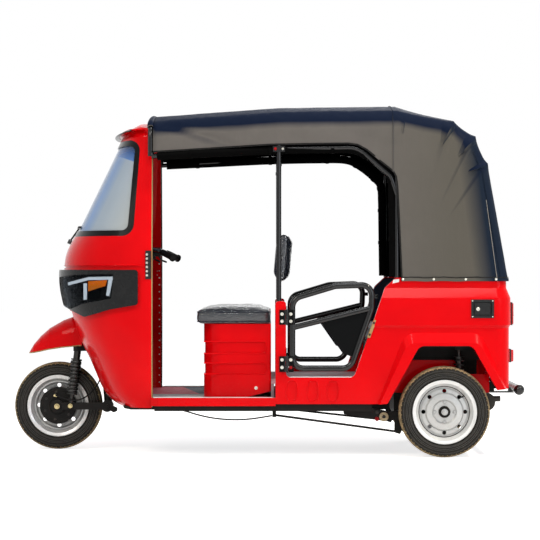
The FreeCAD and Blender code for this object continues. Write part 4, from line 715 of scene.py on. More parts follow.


# Wheel bolts, a dark ring as painted shade in the gap at the disc's edge, the rim's rolled flange and the
# valve
def makeWheelFittings(label, outward):
    x, y, body = wheels[label]
    seat = y + outward * 32.5
    circle = wheelLook["boltCircle"]
    spots = [((x + circle * math.cos(math.pi / 2 * i), seat, axleZ + circle * math.sin(math.pi / 2 * i)),
              (0, outward, 0)) for i in range(4)]
    addBolts("wheel_bolts_" + label, spots, 8, 11, nutSteel, body)
    # Dark ring at the disc's edge: painted shade in the gap
    rim = [(130.2, 14.4), (130.8, 16.2), (134.8, 16.2), (135.6, 14.4)]
    addShapes("disc_gap_shade_" + label, [turnedShape(rim, (x, y, axleZ), (0, outward, 0), 96)], darkBolt, body)
    flange = [(160.5, 59.2), (163, 60.6), (166.5, 60.8), (169, 59.0), (168.5, 57.2), (163, 58.2)]
    addShapes("rolled_flange_" + label, [turnedShape(flange, (x, y, axleZ), (0, way, 0), 120)
                                         for way in (-1, 1)], wheelEnamel, body)
    stem = [(0.1, 0), (4.2, 0), (4.2, 14), (3.0, 16), (3.0, 22), (3.6, 23), (3.6, 30), (0.1, 31)]
    place = (x + 118 * math.cos(0.7), y + outward * 18, axleZ + 118 * math.sin(0.7))
    addShapes("valve_stem_" + label, [turnedShape(stem, place, (0.35, outward, 0.3), 12, closed=False)],
              hoseRubber, body)


makeWheelFittings("rear_left", -1)
makeWheelFittings("rear_right", 1)
makeWheelFittings("front", 1)
for label, (x, y, body) in wheels.items():
    if label != "front":
        outward = -1 if y < 0 else 1
        ringProfile = [(22, 39), (30.6, 39), (30.6, 41.5), (28.8, 43.4), (24.5, 43.4), (22, 41.5)]
        addShapes("cap_ring_" + label, [turnedShape(ringProfile, (x, y, axleZ), (0, outward, 0), 40)],
                  castIron, body)
        nutSpot = ((x, y + outward * 49, axleZ), (0, outward, 0))
        addBolts("shaft_nut_" + label, [nutSpot], 12, 9, nutSteel, body)


print("making the front axle's fittings")
frontX = wheels["front"][0]
spots = [((frontX, -124, axleZ), (0, -1, 0))]
addBolts("axle_nut", spots, 10, 15, brass, "steering")
addBolts("damper_bolt", [((-1063, -116, 242), (0, -1, 0))], 8.5, 18, brass, "steering")
plateSpots = [((frontX + 76 * math.cos(a), -62, axleZ + 76 * math.sin(a)), (0, -1, 0))
              for a in (0.5, 1.7, 2.6, 3.5, 4.5, 5.6)]
addBolts("brake_plate_bolts", plateSpots, 5.5, 6, darkBolt, "steering")
rib = [(84, -0.5), (90, -0.5), (90, 2.6), (88.5, 3.6), (85.5, 3.6), (84, 2.6)]
plateFace = ((frontX, -62, axleZ), (0, -1, 0))
ribs = [turnedShape(rib, *plateFace, 72), turnedShape([(r - 38, d) for r, d in rib], *plateFace, 56)]
addShapes("brake_plate_ribs", ribs, castIron, "steering")


print("sewing the canopy")
hoodLook = {"thickness": 2.6, "sag": 9.0, "pleat": 5.0, "ripple": 1.6, "bindWidth": 8.0, "hemZ": 927.0,
            "seamX": 676.0, "firstStud": 727, "studPitch": 165.0, "foldWidth": 24}
# Sections of the hood: (x, height, lean from level, reach, half width, crown drop, shoulder radius)
hoodStations = [(-588, 0, 90, 1825.2, 564.7, 65, 95), (76, 0, 90, 1873, 601, 65, 95),
                (702, 0, 90, 1880, 606.3, 65, 95), (702, 875, 71.7, 974, 606.3, 40, 95),
                (702, 875, 63.2, 937, 606.3, 30, 90), (702, 875, 54.7, 839, 606.3, 20, 85),
                (702, 875, 0, 598, 606.3, 3, 66)]
# Lower edge of the hood's sides, from the screen to the rear of the doorway
hemLine = [(-588, 1604), (-300, 1621), (30, 1641), (280, 1645), (440, 1646.5), (490, 1640), (540, 1612),
           (600, 1563), (650, 1524), (676, 1501), (689, 1476), (694.5, 1440), (697, 1400), (702, 1310)]


def hemHeight(x):
    for (x0, z0), (x1, z1) in zip(hemLine, hemLine[1:]):
        if x <= x1:
            return z0 + (z1 - z0) * (x - x0) / (x1 - x0)
    return hemLine[-1][1]


def hoodStation(x):
    first, second = hoodStations[:2] if x < 76 else hoodStations[1:3]
    share = (x - first[0]) / (second[0] - first[0])
    return [a + (b - a) * share for a, b in zip(first, second)]


# Points of one section from the left hem over the crown to the right hem
def hoodSection(station, low, inset=0.0):
    x0, z0, lean, reach, halfWidth, drop, shoulder = station
    slope = math.radians(lean)
    crownR = (halfWidth ** 2 + drop ** 2) / (2 * drop)
    crownH = reach - crownR
    centreY = halfWidth - shoulder
    centreH = crownH + math.sqrt((crownR - shoulder) ** 2 - centreY ** 2)
    tilt = math.atan2(centreY, centreH - crownH)
    half = []
    for step in range(31):
        half.append((halfWidth - inset, low + (centreH - low) * step / 31))
    for step in range(11):
        turn = (math.pi / 2 - tilt) * step / 11
        half.append((centreY + (shoulder - inset) * math.cos(turn),
                     centreH + (shoulder - inset) * math.sin(turn)))
    for step in range(21):
        turn = tilt * (1 - step / 21)
        half.append(((crownR - inset) * math.sin(turn), crownH + (crownR - inset) * math.cos(turn)))
    whole = [(-y, h) for y, h in half] + [(0, reach - inset)] + half[::-1]
    return [Vector((x0 + h * math.cos(slope), y, z0 + h * math.sin(slope))) for y, h in whole]


# The hem ripples between its press studs
def hemWave(x):
    return math.sin((x - hoodLook["firstStud"]) * 2 * math.pi / hoodLook["studPitch"])


def hoodRows():
    rows = []
    for (x0, z0), (x1, z1) in zip(hemLine, hemLine[1:]):
        steps = max(1, round(math.hypot(x1 - x0, (z1 - z0) * 0.6) / 22))
        for step in range(steps):
            x = x0 + (x1 - x0) * step / steps
            rows.append((x, 0.0, hoodSection(hoodStation(x), hemHeight(x))))
    low = [1310.0] + [(hoodLook["hemZ"] - 875) / math.sin(math.radians(s[2])) for s in hoodStations[3:6]]
    fans = [hoodSection(s, h) for s, h in zip(hoodStations[2:6], low)]
    for number, (first, second) in enumerate(zip(fans, fans[1:])):
        steps = (16, 12, 12)[number]
        for step in range(steps):
            rows.append((number + 1 + step / steps, 0.0,
                         [a.lerp(b, step / steps) for a, b in zip(first, second)]))
    last = hoodSection(hoodStations[6], 60.0)
    for step in range(27):
        row = []
        for a, b in zip(fans[3], last):
            full = (a.z - hoodLook["hemZ"]) / max(1e-6, a.z - b.z)
            row.append(a.lerp(b, full * step / 26))
        rows.append((4 + step / 26, 1.0, row))
    return rows


rows = hoodRows()
rowCount, columnCount = len(rows), len(rows[0][2])
base = [p for _, _, row in rows for p in row]
bowRows = [i for i, (mark, _, _) in enumerate(rows) if mark in (2, 3, 4.0) and i > 10]


# How far the cloth stands off its section at a point: sag between bows, pleats at them, folds
def clothShift(row, column):
    mark, rear, _ = rows[row]
    place = base[row * columnCount + column]
    across = abs(column - (columnCount - 1) / 2)
    overTop = min(1.0, max(0.0, (44 - across) / 26))
    shift = hoodLook["ripple"] * noise.noise(Vector((place.x / 170, place.y / 210, place.z / 150)))
    shift += 0.7 * noise.noise(Vector((place.x / 45, place.y / 60, place.z / 60 + 5)))
    if row < 10 or mark < 0 or mark > 4.999:
        return shift
    if 1 <= mark < 4 and rear == 0 and row > len(hemLine):
        within = mark - math.floor(mark)
        if row >= firstFan:
            deep = math.sin(math.pi * within) * overTop
            shift -= hoodLook["sag"] * deep * (0.55 if mark < 2 else 1.0)
    if row >= firstFan:
        for bow in bowRows:
            near = math.exp(-((row - bow) / 1.1) ** 2)
            down = min(1.0, max(0.0, (across - 18) / 6)) * min(1.0, max(0.0, (46 - across) / 14))
            shift += hoodLook["pleat"] * near * down
            near = math.exp(-((row - bow + 2.2) / 1.4) ** 2)
            shift -= 0.6 * hoodLook["pleat"] * near * down
    return shift


firstFan = next(i for i, (mark, rear, row) in enumerate(rows) if i > 10 and row[0].x >= 701.9)
points = []
for row in range(rowCount):
    for column in range(columnCount):
        here = base[row * columnCount + column]
        ahead = base[min(row + 1, rowCount - 1) * columnCount + column]
        behind = base[max(row - 1, 0) * columnCount + column]
        left = base[row * columnCount + max(column - 1, 0)]
        right = base[row * columnCount + min(column + 1, columnCount - 1)]
        out = (ahead - behind).cross(right - left)
        if out.length < 1e-6:
            out = Vector((0, -1 if column < columnCount / 2 else 1, 0))
        out.normalize()
        if out.dot(here - Vector((300, 0, 1000))) < 0:
            out = -out
        # a slack fold runs back and down from the front roll
        fold = here.z - (1768 - 0.32 * (here.x + 560))
        slack = math.exp(-(fold / hoodLook["foldWidth"]) ** 2) * min(1, max(0, (here.x + 600) / 60)) * \
            min(1, max(0, (-140 - here.x) / 160))
        slack *= 1 if abs(here.y) > 400 and here.x < 0 else 0
        wave = hemWave(here.x) if here.x > 719 else 0.0
        nearHem = max(0.0, 1 - (here.z - hoodLook["hemZ"]) / 60)
        points.append(here + out * (clothShift(row, column) - 5.0 * slack + 1.6 * wave * nearHem - 1.0))


windowLow, windowTop, windowHalf, windowTaper = 1085, 1400, 330, 30


def insideWindow(place):
    half = windowHalf - windowTaper * (place.z - windowLow) / (windowTop - windowLow)
    return place.x > 1000 and windowLow < place.z < windowTop and abs(place.y) < half


faces = []
for face in gridFaces(rowCount, columnCount, closeColumns=False):
    middle = sum((points[i] for i in face), Vector()) / 4
    area = (points[face[2]] - points[face[0]]).cross(points[face[3]] - points[face[1]]).length
    if area > 0.5 and not insideWindow(middle):
        faces.append(face)
hood = addPiece("canopy_sheet", points, faces, [coatedCloth, liningCloth], None, 50)
normalsOut = sum((p.normal.dot(p.center - Vector((0.3, 0, 1.0))) > 0) - 0.5 for p in hood.data.polygons)
if normalsOut < 0:
    hood.data.flip_normals()
thick = hood.modifiers.new("clothThickness", "SOLIDIFY")
thick.thickness, thick.offset = hoodLook["thickness"] * mm, -1
thick.material_offset, thick.material_offset_rim = 1, 0
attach(hood, "body")
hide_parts("canopy")


# Lines laid on the hood: the piped seams, the hems and the roll at the front
def onHood(row, columns, lift):
    line = []
    for column in columns:
        here = points[row * columnCount + column]
        back = here - Vector((here.x, 0, 900 if row < firstFan else 1200))
        back.x = 0 if row < firstFan else (here.x - 702) * 0.8
        line.append(here + back.normalized() * lift)
    return line


seamRow = min(range(firstFan), key=lambda i: abs(rows[i][2][0].x - hoodLook["seamX"]))
seamPath = onHood(seamRow, range(columnCount), 0.8)
shapes = [sweptShape(seamPath, roundSection(3.2, 8), hint=(1, 0, 0))]
hoodTree = BVHTree.FromPolygons(points, [tuple(f) for f in faces])
threads = []
for side in (-1, 1):
    line = []
    for step in range(25):
        place = Vector((1222 - 58 * step / 24, side * 900, 932 + 421 * step / 24))
        hit = hoodTree.ray_cast(place, Vector((0, -side, 0)))[0]
        if hit is not None:
            line.append(hit + Vector((0.6, side * 1.0, 0)))
    threads.append(sweptShape(line, roundSection(1.7, 6), hint=(1, 0, 0)))
addShapes("canopy_threads", threads, threadCloth)
for side in (0, 1):
    column = 33 if side == 0 else columnCount - 34
    line = [points[row * columnCount + column] for row in range(firstFan + 30, rowCount)]
    line = [p + Vector((3, (-1 if side == 0 else 1) * 1.5, 0)) for p in line]
    shapes.append(sweptShape(line, roundSection(1.8, 6), hint=(1, 0, 0)))
addShapes("canopy_seams", shapes, coatedCloth)

# Doubled hem along the doorway, down its rear edge and round the tub
bindings = []
for side, column in ((-1, 0), (1, columnCount - 1)):
    line = [rows[i][2][column] + Vector((0, side * 1.2, hoodLook["bindWidth"] / 2))
            for i in range(seamRow - 4)]
    bindings.append(sweptShape(line, stripSection(hoodLook["bindWidth"], 3.4), hint=(0, 1, 0)))
    line = [(rows[i][2][column] + Vector((3, side * 1.2, 0))) for i in range(seamRow - 4, firstFan + 14)]
    line.append(Vector((722, side * 607.5, 927)))
    bindings.append(sweptShape(line, stripSection(hoodLook["bindWidth"], 3.4), hint=(0, 1, 0)))
addShapes("canopy_binding", bindings, sealRubber)
bottom = [points[(rowCount - 1) * columnCount + column] for column in range(columnCount)]
around = [Vector((p.x, p.y, 934)) for p in bottom[26:columnCount - 26]]
front = [Vector((x, -607.5, 934 + 1.5 * hemWave(x))) for x in range(722, 1180, 12)]
front = [p for p in front if p.x < around[0].x - 6]
around = front + around + [Vector((p.x, -p.y, p.z)) for p in front[::-1]]
hem = sweptShape(around, [(-1.8, -8), (-1.8, 8), (1.8, 8), (1.8, -8)], hint=(0, 0, 1))
dark = [p + Vector((0, 0, 12.5 + 1.3 * math.sin(p.x / 9) * math.sin(p.x / 31))) for p in around]
dark = [Vector((p.x, p.y * 1.0008, p.z)) for p in dark]
addShapes("hem_threads", [sweptShape(dark, roundSection(1.9, 6), hint=(0, 0, 1))], sealRubber)
addShapes("canopy_hems", [hem], coatedCloth)

# The front edge is rolled round the first bow, its end left open like a scroll; a black disc in each end is
# painted shade for the hollow
rollLine = [p + Vector((-14, 0, 0)) for p in hoodSection(hoodStations[0], 1597.0, 14.0) if p.z > 1738]
addShapes("canopy_roll", [sweptShape(rollLine, roundSection(18.0, 18), hint=(1, 0, 0))], coatedCloth)
# Black discs in the roll's ends: painted shade of the hollow inside
mouths = []
for end, beside in ((rollLine[0], rollLine[1]), (rollLine[-1], rollLine[-2])):
    out = (end - beside).normalized()
    mouths.append(turnedShape([(0.1, 0), (12.5, 0), (12.5, 1.2), (0.1, 1.2)], end + out * 0.6, out, 24,
                              closed=False))
addShapes("roll_mouths", mouths, liningCloth)


# A sewn tuck on the cloth: steep below, easy above, fading out away from the bow
def tuckShape(start, end, side, height, width):
    start, end = Vector((start[0], 0, start[1])), Vector((end[0], 0, end[1]))
    across = (end - start).cross(Vector((0, 1, 0))).normalized()
    across = -across if across.z < 0 else across
    line = []
    for step in range(13):
        t = step / 12
        for share, rise in ((1.0, -0.05), (0.45, 0.5), (0.06, 1.0), (-0.08, 0.55), (-0.2, -0.05)):
            place = start.lerp(end, t) + across * width * share * (1.15 - t)
            hit, normal = hoodTree.ray_cast(Vector((place.x, side * 900, place.z)),
                                            Vector((0, -side, 0)))[:2]
            if hit is None:
                hit, normal = Vector((place.x, side * 560, place.z)), Vector((0, side, 0))
            normal = normal if normal.y * side > 0 else -normal
            line.append(hit + normal * height * rise * math.sin(math.pi * (0.12 + 0.88 * t)) ** 0.7)
    return line, gridFaces(13, 5, closeColumns=False)


tuckLines = [((994, 1742), (930, 1634), 14, 62), ((1108, 1662), (1018, 1580), 14, 60),
             ((1170, 1532), (1070, 1502), 12, 34), ((735, 1768), (728, 1700), 6, 18)]
tucks = [tuckShape(start, end, side, height, width)
         for side in (-1, 1) for start, end, height, width in tuckLines]
addShapes("canopy_tucks", tucks, coatedCloth, "body", 50)

# Press studs that hold the hem to the tub, and the sewn frame round the window
studs = [((x, side * 609.5, 936), (0, side, 0)) for side in (-1, 1) for x in (727, 889, 1057, 1216)]
studs += [((1299.5, y, 936), (1, 0, 0)) for y in (-420, -210, 0, 210, 420)]
addShapes("press_studs", [domeShapes(studs, 6.5, 3.4)], zincSteel)
wallTop = Vector((702 + 839 * math.cos(math.radians(54.7)), 0, 875 + 839 * math.sin(math.radians(54.7))))
wallLow = Vector((1300, 0, 875))


def wallX(z):
    return wallTop.x + (wallLow.x - wallTop.x) * (wallTop.z - z) / (wallTop.z - wallLow.z)


frameLine = []
windowCorners = [(-windowHalf, windowLow), (windowHalf, windowLow), (windowHalf - windowTaper, windowTop),
                 (windowTaper - windowHalf, windowTop)]
for index, (y, z) in enumerate(windowCorners):
    toY, toZ = windowCorners[(index + 1) % 4]
    for step in range(10):
        share = 0.06 + 0.88 * step / 9
        frameLine.append(Vector((wallX(z + (toZ - z) * share) - 2.5, y + (toY - y) * share,
                                 z + (toZ - z) * share)))
addShapes("window_border", [sweptShape(frameLine, [(-21, -1.5), (-21, 2.6), (21, 2.6), (21, -1.5)],
                                       hint=(1, 0, 0.32), closed=True)], coatedCloth)


print("stuffing the seats")
seatLook = {"voxel": 11.0, "pressure": 4.0, "cap": 13.0, "frames": 16, "seam": 5.5}


def roundedBlock(low, high, corner, lean=0.0):
    block = bmesh.new()
    bmesh.ops.create_cube(block, size=1.0)
    for vert in block.verts:
        vert.co = Vector([low[i] + (vert.co[i] + 0.5) * (high[i] - low[i]) for i in range(3)]) * mm
    bmesh.ops.bevel(block, geom=block.edges[:], offset=corner * mm, segments=4, affect="EDGES", profile=0.6)
    for vert in block.verts:
        vert.co.x += lean * mm * (vert.co.z / mm - low[2]) / (high[2] - low[2])
    return block


# Remeshed, held along its seams and blown up with cloth pressure, then smoothed
def stuffedPiece(name, block, held, cap, material):
    mesh = bpy.data.meshes.new(name)
    block.to_mesh(mesh)
    block.free()
    mesh.materials.append(material)
    piece = linkNew(name, mesh)
    remesh = piece.modifiers.new("voxels", "REMESH")
    remesh.mode, remesh.voxel_size = "VOXEL", seatLook["voxel"] * mm
    finished = bpy.data.meshes.new_from_object(piece.evaluated_get(bpy.context.evaluated_depsgraph_get()))
    piece.modifiers.clear()
    piece.data = finished
    rest = [v.co.copy() for v in finished.vertices]
    pinned = [i for i, co in enumerate(rest) if held(co / mm)]
    group = piece.vertex_groups.new(name="seams")
    group.add(pinned, 1.0, "REPLACE")
    cloth = piece.modifiers.new("stuffing", "CLOTH")
    settings = cloth.settings
    settings.use_pressure, settings.uniform_pressure_force = True, seatLook["pressure"]
    settings.effector_weights.gravity = 0
    settings.vertex_group_mass = "seams"
    settings.quality, settings.mass = 5, 0.3
    settings.tension_stiffness = settings.compression_stiffness = 12
    settings.bending_stiffness = 0.8
    for step in range(1, seatLook["frames"] + 1):
        bpy.context.scene.frame_set(step)
    blown = bpy.data.meshes.new_from_object(piece.evaluated_get(bpy.context.evaluated_depsgraph_get()))
    piece.modifiers.clear()
    piece.data = blown
    for vert, before in zip(blown.vertices, rest):
        move = vert.co - before
        if move.length > cap * mm:
            vert.co = before + move.normalized() * cap * mm
    bpy.context.scene.frame_set(1)
    smooth = bmesh.new()
    smooth.from_mesh(piece.data)
    bmesh.ops.smooth_vert(smooth, verts=smooth.verts, factor=0.4, use_axis_x=True, use_axis_y=True,
                          use_axis_z=True)
    smooth.to_mesh(piece.data)
    smooth.free()
    piece.data.polygons.foreach_set("use_smooth", [True] * len(piece.data.polygons))
    finer = piece.modifiers.new("finer", "SUBSURF")
    finer.levels = finer.render_levels = 1
    return piece


seats = {
    "driver_cushion": {"low": (-355, -512, 700.5), "high": (29, 512, 776), "corner": 26, "lean": 0,
                       "seamZ": 712, "topSeam": 762, "channels": [], "flat": 704},
    "driver_backrest": {"low": (58, -412, 922), "high": (114, 412, 1172), "corner": 24, "lean": 22,
                        "seamZ": None, "topSeam": None, "channels": [], "flat": None},
    "rear_cushion": {"low": (565, -528, 590.6), "high": (948, 528, 692), "corner": 26, "lean": 0,
                     "seamZ": 604, "topSeam": 676, "channels": [-396, -264, -132, 0, 132, 264, 396],
                     "flat": 595},
    "rear_backrest": {"low": (966, -528, 593), "high": (1028, 528, 1143), "corner": 26, "lean": 86,
                      "seamZ": None, "topSeam": None, "channels": [-396, -264, -132, 0, 132, 264, 396],
                      "flat": None}}


def makeSeat(name):
    look = seats[name]

    def held(co):
        if look["flat"] and co.z < look["flat"] + 2:
            return True
        if look["topSeam"] and abs(co.z - look["topSeam"]) < seatLook["seam"]:
            return True
        if any(abs(co.y - y) < seatLook["seam"] for y in look["channels"]):
            return True
        middle = (look["low"][0] + look["high"][0]) / 2 + look["lean"] * (co.z - look["low"][2]) / \
            (look["high"][2] - look["low"][2])
        return look["seamZ"] is None and abs(co.x - middle) < seatLook["seam"]

    block = roundedBlock(look["low"], look["high"], look["corner"], look["lean"])
    piece = stuffedPiece(name + "_pad", block, held, seatLook["cap"], seatVinyl)
    for vert in piece.data.vertices:
        near = min([abs(vert.co.y / mm - y) for y in look["channels"]] or [99])
        if near < 16 and (look["flat"] is None or vert.co.z / mm > look["flat"] + 20):
            shrink = 4.5 * mm * math.exp(-(near / 6) ** 2)
            vert.co -= vert.normal * shrink
    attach(piece, "body")
    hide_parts(name)
    return piece


pads = {name: makeSeat(name) for name in seats}


# Piping sewn round the cushions' top and bottom edges
def pipingLine(low, high, corner, z):
    line = []
    for cx, cy, start in ((high[0] - corner, high[1] - corner, 0), (low[0] + corner, high[1] - corner, 90),
                          (low[0] + corner, low[1] + corner, 180), (high[0] - corner, low[1] + corner, 270)):
        for step in range(7):
            turn = math.radians(start + 15 * step)
            line.append((cx + corner * math.cos(turn), cy + corner * math.sin(turn), z))
    return line


shapes = []
for name in ("driver_cushion", "rear_cushion"):
    look = seats[name]
    for z, grow in ((look["topSeam"], 0.5), (look["seamZ"], 0.0)):
        low = [v - grow for v in look["low"]]
        high = [v + grow for v in look["high"]]
        shapes.append(sweptShape(pipingLine(low, high, look["corner"], z), roundSection(3.2, 8),
                                 closed=True))
addShapes("seat_piping", shapes, seatVinyl)


# The delivery film: a loose crumpled skin a few millimetres off the pad
def wrapFilm(name, padName, clear, crumple, keep):
    pad = pads[padName]
    wrap = pad.data.copy()
    shell = bmesh.new()
    shell.from_mesh(wrap)
    bmesh.ops.delete(shell, geom=[f for f in shell.faces if not keep(f.calc_center_median() / mm)],
                     context="FACES")
    for vert in shell.verts:
        p = vert.co / mm
        slack = noise.noise(Vector((p.x / 60, p.y / 75, p.z / 40))) + \
            0.6 * noise.noise(Vector((p.x / 19 + 3, p.y / 23, p.z / 15)))
        vert.co += vert.normal * (clear + crumple * abs(slack)) * mm
    shell.to_mesh(wrap)
    shell.free()
    wrap.materials.clear()
    wrap.materials.append(clearFilm)
    film = linkNew(name, wrap)
    finer = film.modifiers.new("finer", "SUBSURF")
    finer.levels = finer.render_levels = 1
    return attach(film, "body")


wrapFilm("cushion_film", "driver_cushion", 1.5, 4.0, lambda p: p.z > 706 and p.x < 30)
wrapFilm("backrest_film", "driver_backrest", 2.0, 5.0, lambda p: p.x > 84 or p.z > 1150)


print("hanging the hose and the cable")
hosePoints = [(-1143, -124, 300), (-1100, -127, 284), (-1052, -129, 272), (-1005, -126, 276),
              (-962, -114, 302), (-926, -88, 340), (-903, -54, 384), (-894, -26, 424)]
cablePoints = [(-470, -330, 237.7), (-420, -330, 226), (-360, -330, 207), (-290, -330, 191),
               (-215, -330, 182), (-140, -330, 180), (-70, -330, 185), (-10, -330, 194), (41, -330, 203)]
cords = {
    "brake_hose_run": {"points": hosePoints, "diameter": 8.0, "node": "brake_hose", "body": "steering"},
    "control_cable_run": {"points": cablePoints, "diameter": 8.0, "node": "control_cable", "body": "body"}}


def makeCord(name):
    look = cords[name]
    curve = bpy.data.curves.new(name, "CURVE")
    curve.dimensions = "3D"
    curve.bevel_depth, curve.bevel_resolution, curve.use_fill_caps = look["diameter"] / 2 * mm, 4, True
    spline = curve.splines.new("NURBS")
    spline.points.add(len(look["points"]) - 1)
    for point, place in zip(spline.points, look["points"]):
        point.co = (*[v * mm for v in place], 1.0)
    spline.order_u = 3
    spline.use_endpoint_u = True
    spline.resolution_u = 8
    curve.materials.append(hoseRubber)
    piece = linkNew(name, curve)
    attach(piece, look["body"])
    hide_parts(look["node"])


for name in cords:
    makeCord(name)
union = turnedShape([(0.1, -2), (7, -2), (7, 9), (5.6, 10.5), (5.6, 16), (0.1, 17)],
                    (-1150, -118, 300), (0.9, -0.25, -0.32), 6, closed=False)
addShapes("hose_union", [union], brass, "steering")


print("fitting the lamps")
noseSections = [(256, 535), (330, 547), (450, 553), (600, 557), (760, 558), (900, 557), (1003, 555),
                (1062, 554), (1106, 553), (1160, 550), (1690, 490), (1735, 470), (1765, 440), (1785, 420)]


def shellWidth(z):
    for (z0, w0), (z1, w1) in zip(noseSections, noseSections[1:]):
        if z <= z1:
            return w0 + (w1 - w0) * (z - z0) / (z1 - z0)
    return noseSections[-1][1]


castTrees = {}


# The first hit on one CAD piece from outside, at X and Z on one side
def skinAt(node, x, z, side):
    if node not in castTrees:
        castTrees[node] = BVHTree.FromObject(nodes[node], bpy.context.evaluated_depsgraph_get())
    into = nodes[node].matrix_world.inverted()
    start = into @ (Vector((x, side * 900, z)) * mm)
    hit, normal, _, _ = castTrees[node].ray_cast(start, into.to_3x3() @ Vector((0, -side, 0)))
    return (None, None) if hit is None else (nodes[node].matrix_world @ hit / mm, normal)


# A thin plate laid on a piece's skin: corners are (x, z), in order round the plate
def patchShape(node, corners, side, lift, thick, steps=(12, 5)):
    rows = []
    for i in range(steps[0] + 1):
        for j in range(steps[1] + 1):
            u, v = i / steps[0], j / steps[1]
            ends = [Vector(corners[0]).lerp(Vector(corners[1]), u),
                    Vector(corners[3]).lerp(Vector(corners[2]), u)]
            x, z = ends[0].lerp(ends[1], v)
            hit, normal = skinAt(node, x, z, side)
            if hit is None:
                hit, normal = Vector((x, side * shellWidth(z), z)), Vector((0, side, 0))
            rows.append((hit, normal if normal.y * side > 0 else -normal))
    columns = steps[1] + 1
    points = [p + n * (lift + thick) for p, n in rows] + [p + n * lift for p, n in rows]
    top = gridFaces(steps[0] + 1, columns, closeColumns=False)
    count = len(rows)
    faces = top + [tuple(i + count for i in face[::-1]) for face in top]
    edge = list(range(columns)) + [columns * r + columns - 1 for r in range(1, steps[0] + 1)]
    edge += list(range(count - 2, count - columns - 1, -1))
    edge += [columns * r for r in range(steps[0] - 1, 0, -1)]
    for a, b in zip(edge, edge[1:] + edge[:1]):
        faces.append((a, b, b + count, a + count))
    return points, faces


lampLook = {
    "day_strips": [[(-1054, 918), (-931, 947.6), (-931, 931.6), (-1054, 902)],
                   [(-931, 947.6), (-800.7, 950), (-800.7, 934), (-931, 931.6)],
                   [(-822, 943), (-801, 943), (-817, 846), (-836, 850)],
                   [(-961, 914), (-943, 915), (-943, 828), (-961, 826)]],
    "turn_signals": [[(-934, 925), (-832, 932), (-840, 901), (-934, 872)]],
    "dipped_reflectors": [[(-930, 900), (-862, 905), (-868, 836), (-930, 828)]]}
for name, finish in (("day_strips", ledDiffuser), ("turn_signals", amberAcrylic),
                     ("dipped_reflectors", darkReflector)):
    shapes = [patchShape("headlamp_band", corners, side, 0.4, 2.2 if name != "dipped_reflectors" else 1.0)
              for corners in lampLook[name] for _, side in sides]
    addShapes(name, shapes, finish, "body", 30)

# A lip runs round each lamp cover, and a mesh fills the middle grille
lipLine = [(-1082, 946), (-1016, 959), (-900, 963.5), (-797, 963), (-803, 900), (-810, 835), (-890, 819),
           (-972, 804), (-1036, 777), (-1082, 789)]
shapes = []
for _, side in sides:
    line = []
    for (x0, z0), (x1, z1) in zip(lipLine, lipLine[1:]):
        for step in range(6):
            x, z = x0 + (x1 - x0) * step / 6, z0 + (z1 - z0) * step / 6
            hit, normal = skinAt("headlamp_lenses", x + 1.5, z, side)
            if hit is not None:
                line.append(hit + normal * 1.2)
    if len(line) > 6:
        shapes.append(sweptShape(line, roundSection(1.3, 6), hint=(-0.3, side, 0)))
addShapes("lamp_lips", shapes, blackAbs)
bars = []
for number in range(9):
    z = 838 + 13 * number
    bars.append(sweptShape([(-1112 + 0.0004 * y * y, y, z) for y in range(-158, 159, 12)],
                           [(-2.2, -1.2), (2.2, -1.2), (2.2, 1.2), (-2.2, 1.2)]))
for y in range(-150, 151, 25):
    bars.append(sweptShape([(-1110 + 0.0004 * y * y, y, 832), (-1110 + 0.0004 * y * y, y, 950)],
                           roundSection(1.4, 6), hint=(1, 0, 0)))
addShapes("grille_mesh", bars, blackAbs)


print("laying the trims")
boxFace, hingeFace = 500.4, 626.2
linings = [plateShape([(478, 430), (632, 885), (690, 938), (1050, 938), (1050, 600), (565, 592)],
                      side * 579, side * 581.4, 0.8) for _, side in sides]
addShapes("tub_linings", linings, navyLining)
rivets = [((-608, side * (shellWidth(z) - 24.2), z), (0, -side, 0)) for _, side in sides
          for z in range(300, 1101, 40)]
addShapes("pillar_rivets", [domeShapes(rivets, 4.5, 2.4)], zincSteel)
trims = {"seal": [], "tan": []}
for _, side in sides:
    heights = list(range(262, 1640, 40)) + [1640, 1668, 1690, 1712, 1735, 1750, 1765]
    for name, inset, x, section in (("seal", 14, -594, stripSection(12, 6)),
                                    ("tan", 4.0, -594, stripSection(7.5, 5))):
        line = [(x - 2.4, side * (shellWidth(z) - inset), z) for z in heights]
        trims[name].append(sweptShape(line, section, hint=(1, 0, 0)))
addShapes("door_seals", trims["seal"], sealRubber)
addShapes("seal_edges", trims["tan"], tanNylon)

bracketLevels = (957, 979, 1001, 1023, 1045, 1067)
bright, small, reds = [], [], []
for _, side in sides:
    out = (0, side, 0)
    bright += [((92, side * hingeFace, z), out) for z in (754, 716, 514, 474)]
    bright.append(((-45, side * 500.3, 360), out))
    reds.append(((57, side * 596.5, 1622), out))
    small.append(((96, side * 596.5, 1622), out))
    small += [((-620, side * 561.4, z), out) for z in bracketLevels]
for name, spots, radius, finish in (("bright_bolts", bright, 6.0, zincSteel),
                                    ("small_bolts", small, 4.2, zincSteel),
                                    ("red_bolts", reds, 5.5, redBolt)):
    addBolts(name, spots, radius, 5.5, finish)
for label, side in sides:
    spots = [((138, side * hingeFace, z), (0, side, 0)) for z in (754, 716, 514)]
    addBolts("gate_bolts_" + label, spots, 6.0, 5.5, zincSteel, label + "_gate")
    lowSpot = ((138, side * hingeFace, 474), (0, side, 0))
    addBolts("gate_red_bolt_" + label, [lowSpot], 6.0, 5.5, redBolt, label + "_gate")

plates = [plateShape([(44, 1606), (108, 1606), (108, 1638), (44, 1636)], side * 592, side * 596, 1.2)
          for _, side in sides]
clips = []
for _, side in sides:
    for z in (1540, 1046):
        clips.append(turnedShape([(12.8, -9), (15.2, -9), (15.2, 9), (12.8, 9)], (76, side * 580, z),
                                 (0, 0, 1), 24))
addShapes("post_plates", plates + clips, tubeCoat)

